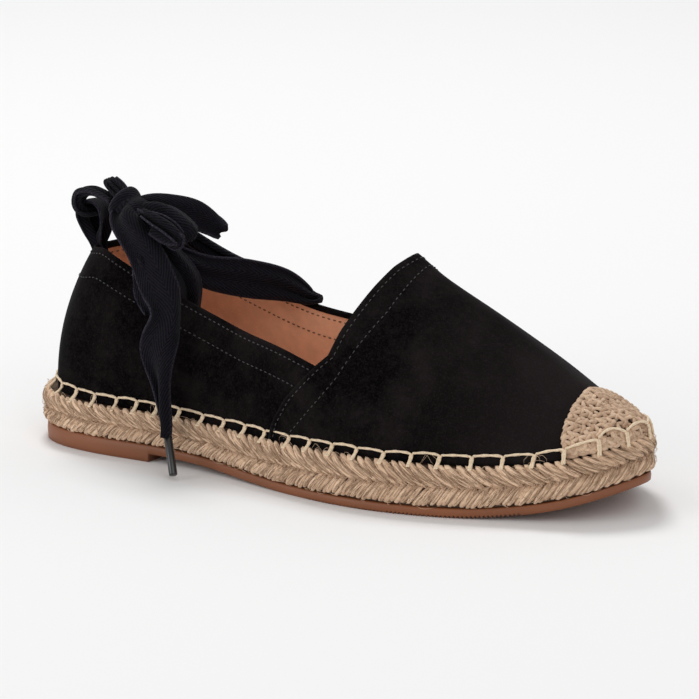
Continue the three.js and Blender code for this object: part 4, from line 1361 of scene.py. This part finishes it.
def chain_along(rng, line, normal, rise, half):
    """Bends for a chain of overlapping links along a line."""
    run = run_of(line)
    t = np.linspace(0, 1, 9)
    bends = []
    for i in range(int(run[-1] / CHAIN_LINK)):
        at = (i + 1.65 * t) * CHAIN_LINK
        lie, n = sampled(line, run, at), sampled(normal, run, at)
        side = normalized(np.cross(n, np.gradient(lie, axis=0)))
        lie = lie + n * (rise * (0.25 + np.sin(math.pi * t) ** 0.8))[:, None]
        lie = lie + side * ((0.0006 - 0.0012 * t) * rng.uniform(0.7, 1.2))[:, None]
        bends.append(along_line(lie, n, half * rng.uniform(0.93, 1.1), half * 0.95))
    return bends


def crochet_stitch(rng, spot, normal, row_way):
    """Bends for the three strands of one stitch, turned a little at random."""
    turn = rng.gauss(0, 0.2)
    row_way = row_way * math.cos(turn) + np.cross(normal, row_way) * math.sin(turn)
    toe = np.cross(normal, row_way)
    toe = -toe if toe[0] < 0 else toe
    size = sizes().crochet_stitch * rng.uniform(0.92, 1.1)
    bends = []
    for strand in CROCHET_STRANDS:
        way = spline(np.array(strand) + [[0, 0, rng.uniform(-0.06, 0.1)]], 9) * size
        path = spot + way[:, :1] * row_way + way[:, 1:2] * toe + way[:, 2:] * normal
        half = YARN_HALF_WIDTH * rng.uniform(0.88, 1.1)
        bends.append(along_line(path, normal, half, half * 0.92))
    return bends


def make_crochet():
    """The crochet cap over the toes, stitch by stitch, with its two chained edges."""
    rng = random.Random(SEED + 2)
    way = np.linspace(0, 1, 300)
    run = run_of(cap_point(way, np.full(len(way), 0.5)))
    across = np.linspace(0, 1, ROW_SAMPLES)
    bends = []
    for r in range(int((run[-1] - 0.001) / sizes().crochet_row) + 1):
        along = np.full(ROW_SAMPLES, np.interp(FIRST_ROW + r * sizes().crochet_row, run, way))
        line, normal = cap_point(along, across), surface_normal(cap_point, along, across)
        row_run = run_of(line)
        free = row_run[-1] - 0.002
        stitches = max(3, int(free / sizes().crochet_stitch))
        for i in range(stitches):
            at = 0.001 + (i + 0.5 + 0.25 * (r % 2)) * free / (stitches + 0.25) + rng.uniform(-0.0004, 0.0004)
            spot, ahead = sampled(line, row_run, at), sampled(line, row_run, at + 0.001)
            up = normalized(sampled(normal, row_run, at))
            bends += crochet_stitch(rng, spot, up, normalized(ahead - spot))
    across = np.linspace(0.01, 0.99, ROW_SAMPLES)
    for at, rise, half in CHAINS:
        normal = surface_normal(cap_point, np.full(ROW_SAMPLES, abs(at - 0.004)), across)
        bends += chain_along(rng, cap_point(np.full(ROW_SAMPLES, at), across), normal, rise, half)
    tones = [rng.random() for _ in bends]
    crochet = copies("crochet_cap", tube_unit(12, 8, crochet_ply), bends, finish("crochet"), tones)
    # A sheet in painted shade under the stitches, which darkens the holes between them.
    bm, at = grid(40, 60)
    points = held_off(cap_point, at[:, 0], at[:, 1], GROUND_LIFT)
    ground = sheet("crochet_ground", bm, points, CAP_SIZE, "jute_core")
    dressed(crochet, "crochet", "toe_cap")
    dressed(ground, "crochet", "toe_cap")


def crochet_ply(along, turn):
    """The same for the thicker crochet yarn."""
    return two_ply(along, turn, 0.19, 10, 6, 0.4)


SUEDE_ROWS = ((0.0024, 0.138), (0.0108, 0.134))       # depth below the topline, x of the ends
LINING_ROWS = ((0.0045, 0.138), (0.0125, 0.134))
EDGE_ROW = 0.0022                 # from the vamp's back edge to its first row
HEEL_ROWS = (-0.0032, 0.0032)     # places of the short rows beside the heel's seam
SEAM_SAMPLES = 500                # points that stand for a sewn row
STITCH_SHARE = 0.62               # length of a stitch as a share of the pitch
STITCH_ARCH = np.array((-0.8, 0.7, 1.0, 0.7, -0.8))   # its height at five places, which dips at both ends


def seam_row(line, normal, half=0.00021, rise=0.00017):
    """Bends for the stitches of one sewn row."""
    pitch, run = sizes().seam_pitch, run_of(line)
    bends = []
    for i in range(int(run[-1] / pitch)):
        at = np.linspace(i, i + STITCH_SHARE, 5) * pitch
        n = sampled(normal, run, at)
        lie = sampled(line, run, at) + n * (rise * STITCH_ARCH)[:, None]
        bends.append(along_line(lie, n, half, half * 0.8))
    return bends


def below_topline(s, depth):
    """Line on the last at a depth below the topline, with its normals."""
    line = spoke_point(s, lambda x: topline(x) - depth)
    lower = spoke_point(s, lambda x: topline(x) - depth - 0.001)
    normal = normalized(np.cross(np.gradient(line, axis=0), line - lower))
    inward = np.sum(normal[:, :2] * (line[:, :2] - hub_at(line[:, 0], HUB_SPAN)), axis=1) < 0
    return line, normal * np.where(inward, -1, 1)[:, None]


def row_below(depth, end):
    """A row all round the back, as a line with its normals."""
    outer, inner = quarter_span(end)
    return below_topline(np.linspace(outer, inner, SEAM_SAMPLES), depth)


def make_seams():
    """The sewn rows of the suede and of the lining."""
    bends = []
    for depth, end in SUEDE_ROWS:
        bends += seam_row(*row_below(depth, end))
    across = np.linspace(0.004, 0.996, SEAM_SAMPLES)
    turn = -np.cos(math.pi * across)
    back = vamp_edge_x(turn)
    for x in (back + EDGE_ROW, vamp_edge_x(turn, VAMP_SEAM)):
        along = np.arcsin(np.clip((x - back) / (FOOT_TIP - back), 0, 1)) * 2 / math.pi
        line = held_off(vamp_point, along, across, edge_step(along))
        bends += seam_row(line, surface_normal(vamp_point, along, across))
    for beside in HEEL_ROWS:
        rungs = [below_topline(np.array((beside, beside + 0.001)), depth)
                 for depth in np.linspace(SUEDE_ROWS[0][0], SUEDE_ROWS[1][0], 60)]
        bends += seam_row(*(np.stack([rung[part][0] for rung in rungs]) for part in (0, 1)))
    dressed(copies("suede_seams", tube_unit(4, 6), bends, finish("seam")), "suede")
    bends = []
    for depth, end in LINING_ROWS:
        line, normal = row_below(depth, end)
        bends += seam_row(line - normal * LINING_BACK_DEPTH, -normal, half=0.00025, rise=0.0003)
    dressed(copies("lining_seams", tube_unit(4, 6), bends, finish("tan_thread")), "insole_leather")


def dress_insole():
    """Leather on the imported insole, which stays as it is."""
    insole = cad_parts["insole"]
    insole.data.materials.clear()
    insole.data.materials.append(finish("insole"))


# ---- stage -------------------------------------------------------------------------------

CAMERA_AIM = (0.131, 0.0, 0.045)
CAMERA_TURN, CAMERA_RISE, CAMERA_ROLL = 33.5, 14.07, -0.555   # degrees
CAMERA_DISTANCE = 1.79726
CAMERA_LENS, SENSOR_WIDTH = 246.43, 36.0                      # millimetres
CAMERA_OFFSET = (-0.000399, -0.001078)                        # where the aim lies, right of the middle and up


def make_camera():
    """A long lens in front of the outer side, a little above the shoe."""
    turn, rise, roll = (math.radians(a) for a in (CAMERA_TURN, CAMERA_RISE, CAMERA_ROLL))
    back = Vector((math.sin(turn) * math.cos(rise), -math.cos(turn) * math.cos(rise), math.sin(rise)))
    level = Vector((math.cos(turn), math.sin(turn), 0))
    upright = back.cross(level)
    right = math.cos(roll) * level + math.sin(roll) * upright
    up = -math.sin(roll) * level + math.cos(roll) * upright
    camera = bpy.data.objects.new("camera", bpy.data.cameras.new("camera"))
    camera.data.lens = CAMERA_LENS
    camera.data.sensor_width = SENSOR_WIDTH
    camera.data.clip_start, camera.data.clip_end = 0.01, 50
    pose = Matrix((right, up, back)).transposed().to_4x4()
    pose.translation = (Vector(settled(CAMERA_AIM)) - right * CAMERA_OFFSET[0] - up * CAMERA_OFFSET[1]
                        + back * CAMERA_DISTANCE)
    camera.matrix_world = pose
    bpy.context.scene.collection.objects.link(camera)
    bpy.context.scene.camera = camera


LIGHTS = (                        # name, place, diameter
    ("key", (-0.62, 0.6, 1.8), 0.65),
    ("fill", (1.3, -1.0, 1.0), 1.4),
    ("front", (-1.0, -1.45, 0.55), 1.0),
)
LIGHT_AIM = (0, 0, 0.03)
FLOOR_HALF_SIZE = 6


def soft_light(name, place, diameter):
    """A round light, as strong as its size group says, that faces the shoe."""
    light = bpy.data.lights.new(name, "AREA")
    light.shape = "DISK"
    light.size = diameter
    light.energy = getattr(sizes(), name + "_light")
    lamp = bpy.data.objects.new(name, light)
    lamp.location = place
    lamp.rotation_mode = "QUATERNION"
    lamp.rotation_quaternion = (Vector(LIGHT_AIM) - Vector(place)).to_track_quat("-Z", "Y")
    bpy.context.scene.collection.objects.link(lamp)


def make_stage():
    """The plain pale floor and the soft lights."""
    bm = bmesh.new()
    bmesh.ops.create_grid(bm, x_segments=1, y_segments=1, size=FLOOR_HALF_SIZE)
    finished("floor", bm, finish("floor"), smooth=False)
    world = bpy.data.worlds.new("studio")
    bpy.context.scene.world = world
    world.use_nodes = True
    background = world.node_tree.nodes["Background"]
    background.inputs["Color"].default_value = (1, 1, 1, 1)
    background.inputs["Strength"].default_value = sizes().room_light
    for lamp in LIGHTS:
        soft_light(*lamp)
    view = bpy.context.scene.view_settings
    view.view_transform = "Standard"
    view.look = "None"


# ---- operators, panel and registration ---------------------------------------------------

class EspadrilleCamera(bpy.types.Operator):
    """Place the camera in front of the shoe's outer side."""

    bl_idname = "espadrille.camera"
    bl_label = "Place camera"

    def execute(self, context):
        make_camera()
        return {"FINISHED"}


class EspadrilleTie(bpy.types.Operator):
    """Lay the tape round the ankle and through the heel loop, and tie its bow."""

    bl_idname = "espadrille.tie"
    bl_label = "Tie the tape"

    def execute(self, context):
        make_tie()
        return {"FINISHED"}


class EspadrilleHeelLoop(bpy.types.Operator):
    """Stand the tape loop on the heel."""

    bl_idname = "espadrille.heel_loop"
    bl_label = "Make heel loop"

    def execute(self, context):
        make_heel_loop()
        return {"FINISHED"}


class EspadrilleUpper(bpy.types.Operator):
    """Make the quarter and the vamp."""

    bl_idname = "espadrille.upper"
    bl_label = "Make suede upper"

    def execute(self, context):
        make_uppers()
        return {"FINISHED"}


class EspadrilleLining(bpy.types.Operator):
    """Line the quarter and the vamp with leather."""

    bl_idname = "espadrille.lining"
    bl_label = "Make lining"

    def execute(self, context):
        make_lining()
        return {"FINISHED"}


class EspadrilleInsole(bpy.types.Operator):
    """Give the insole its leather."""

    bl_idname = "espadrille.insole"
    bl_label = "Cover insole"

    def execute(self, context):
        dress_insole()
        return {"FINISHED"}


class EspadrilleSeams(bpy.types.Operator):
    """Sew the rows of the suede and the lining."""

    bl_idname = "espadrille.seams"
    bl_label = "Sew suede"

    def execute(self, context):
        make_seams()
        return {"FINISHED"}


class EspadrilleOutsole(bpy.types.Operator):
    """Make the rubber sole and its heel lift."""

    bl_idname = "espadrille.outsole"
    bl_label = "Make outsole"

    def execute(self, context):
        make_outsole()
        return {"FINISHED"}


class EspadrilleBraid(bpy.types.Operator):
    """Braid the jute band round the sole."""

    bl_idname = "espadrille.braid"
    bl_label = "Braid the jute"

    def execute(self, context):
        make_braid()
        return {"FINISHED"}


class EspadrilleFibres(bpy.types.Operator):
    """Add the loose fibres of the jute."""

    bl_idname = "espadrille.fibres"
    bl_label = "Scatter loose fibres"

    def execute(self, context):
        make_fibres()
        return {"FINISHED"}


class EspadrilleBlanketStitch(bpy.types.Operator):
    """Sew the upper to the jute with pale thread."""

    bl_idname = "espadrille.blanket_stitch"
    bl_label = "Sew blanket stitch"

    def execute(self, context):
        make_blanket_stitch()
        return {"FINISHED"}


class EspadrilleCrochet(bpy.types.Operator):
    """Crochet the cap over the toes."""

    bl_idname = "espadrille.crochet"
    bl_label = "Crochet toe cap"

    def execute(self, context):
        make_crochet()
        return {"FINISHED"}


class EspadrilleStage(bpy.types.Operator):
    """Lay the floor and hang the lights."""

    bl_idname = "espadrille.stage"
    bl_label = "Set the stage"

    def execute(self, context):
        make_stage()
        return {"FINISHED"}


class EspadrillePanel(bpy.types.Panel):
    """Sizes, colours and pieces of the espadrille."""

    bl_idname = "VIEW3D_PT_espadrille"
    bl_label = "Espadrille"
    bl_space_type = "VIEW_3D"
    bl_region_type = "UI"
    bl_category = "Espadrille"

    def draw(self, context):
        for title, group in (("Sizes and lights", sizes()), ("Colours", colors())):
            box = self.layout.box()
            box.label(text=title)
            for key in group.__annotations__:
                box.prop(group, key)
        column = self.layout.column(align=True)
        for step in STEPS:
            column.operator(step.bl_idname)


STEPS = (
    EspadrilleCamera, EspadrilleTie, EspadrilleHeelLoop, EspadrilleUpper, EspadrilleLining,
    EspadrilleInsole, EspadrilleSeams, EspadrilleOutsole, EspadrilleBraid, EspadrilleFibres,
    EspadrilleBlanketStitch, EspadrilleCrochet, EspadrilleStage,
)
CLASSES = (EspadrilleSizes, EspadrilleColors, *STEPS, EspadrillePanel)


def register():
    for cls in CLASSES:
        bpy.utils.register_class(cls)
    bpy.types.Scene.espadrille_sizes = bpy.props.PointerProperty(type=EspadrilleSizes)
    bpy.types.Scene.espadrille_colors = bpy.props.PointerProperty(type=EspadrilleColors)


def unregister():
    del bpy.types.Scene.espadrille_colors
    del bpy.types.Scene.espadrille_sizes
    for cls in reversed(CLASSES):
        bpy.utils.unregister_class(cls)


def main():
    register()
    bpy.ops.espadrille.camera()
    bpy.ops.espadrille.tie()
    bpy.ops.espadrille.heel_loop()
    bpy.ops.espadrille.upper()
    bpy.ops.espadrille.lining()
    bpy.ops.espadrille.insole()
    bpy.ops.espadrille.seams()
    bpy.ops.espadrille.outsole()
    bpy.ops.espadrille.braid()
    bpy.ops.espadrille.fibres()
    bpy.ops.espadrille.blanket_stitch()
    bpy.ops.espadrille.crochet()
    bpy.ops.espadrille.stage()


if __name__ == "__main__":
    main()
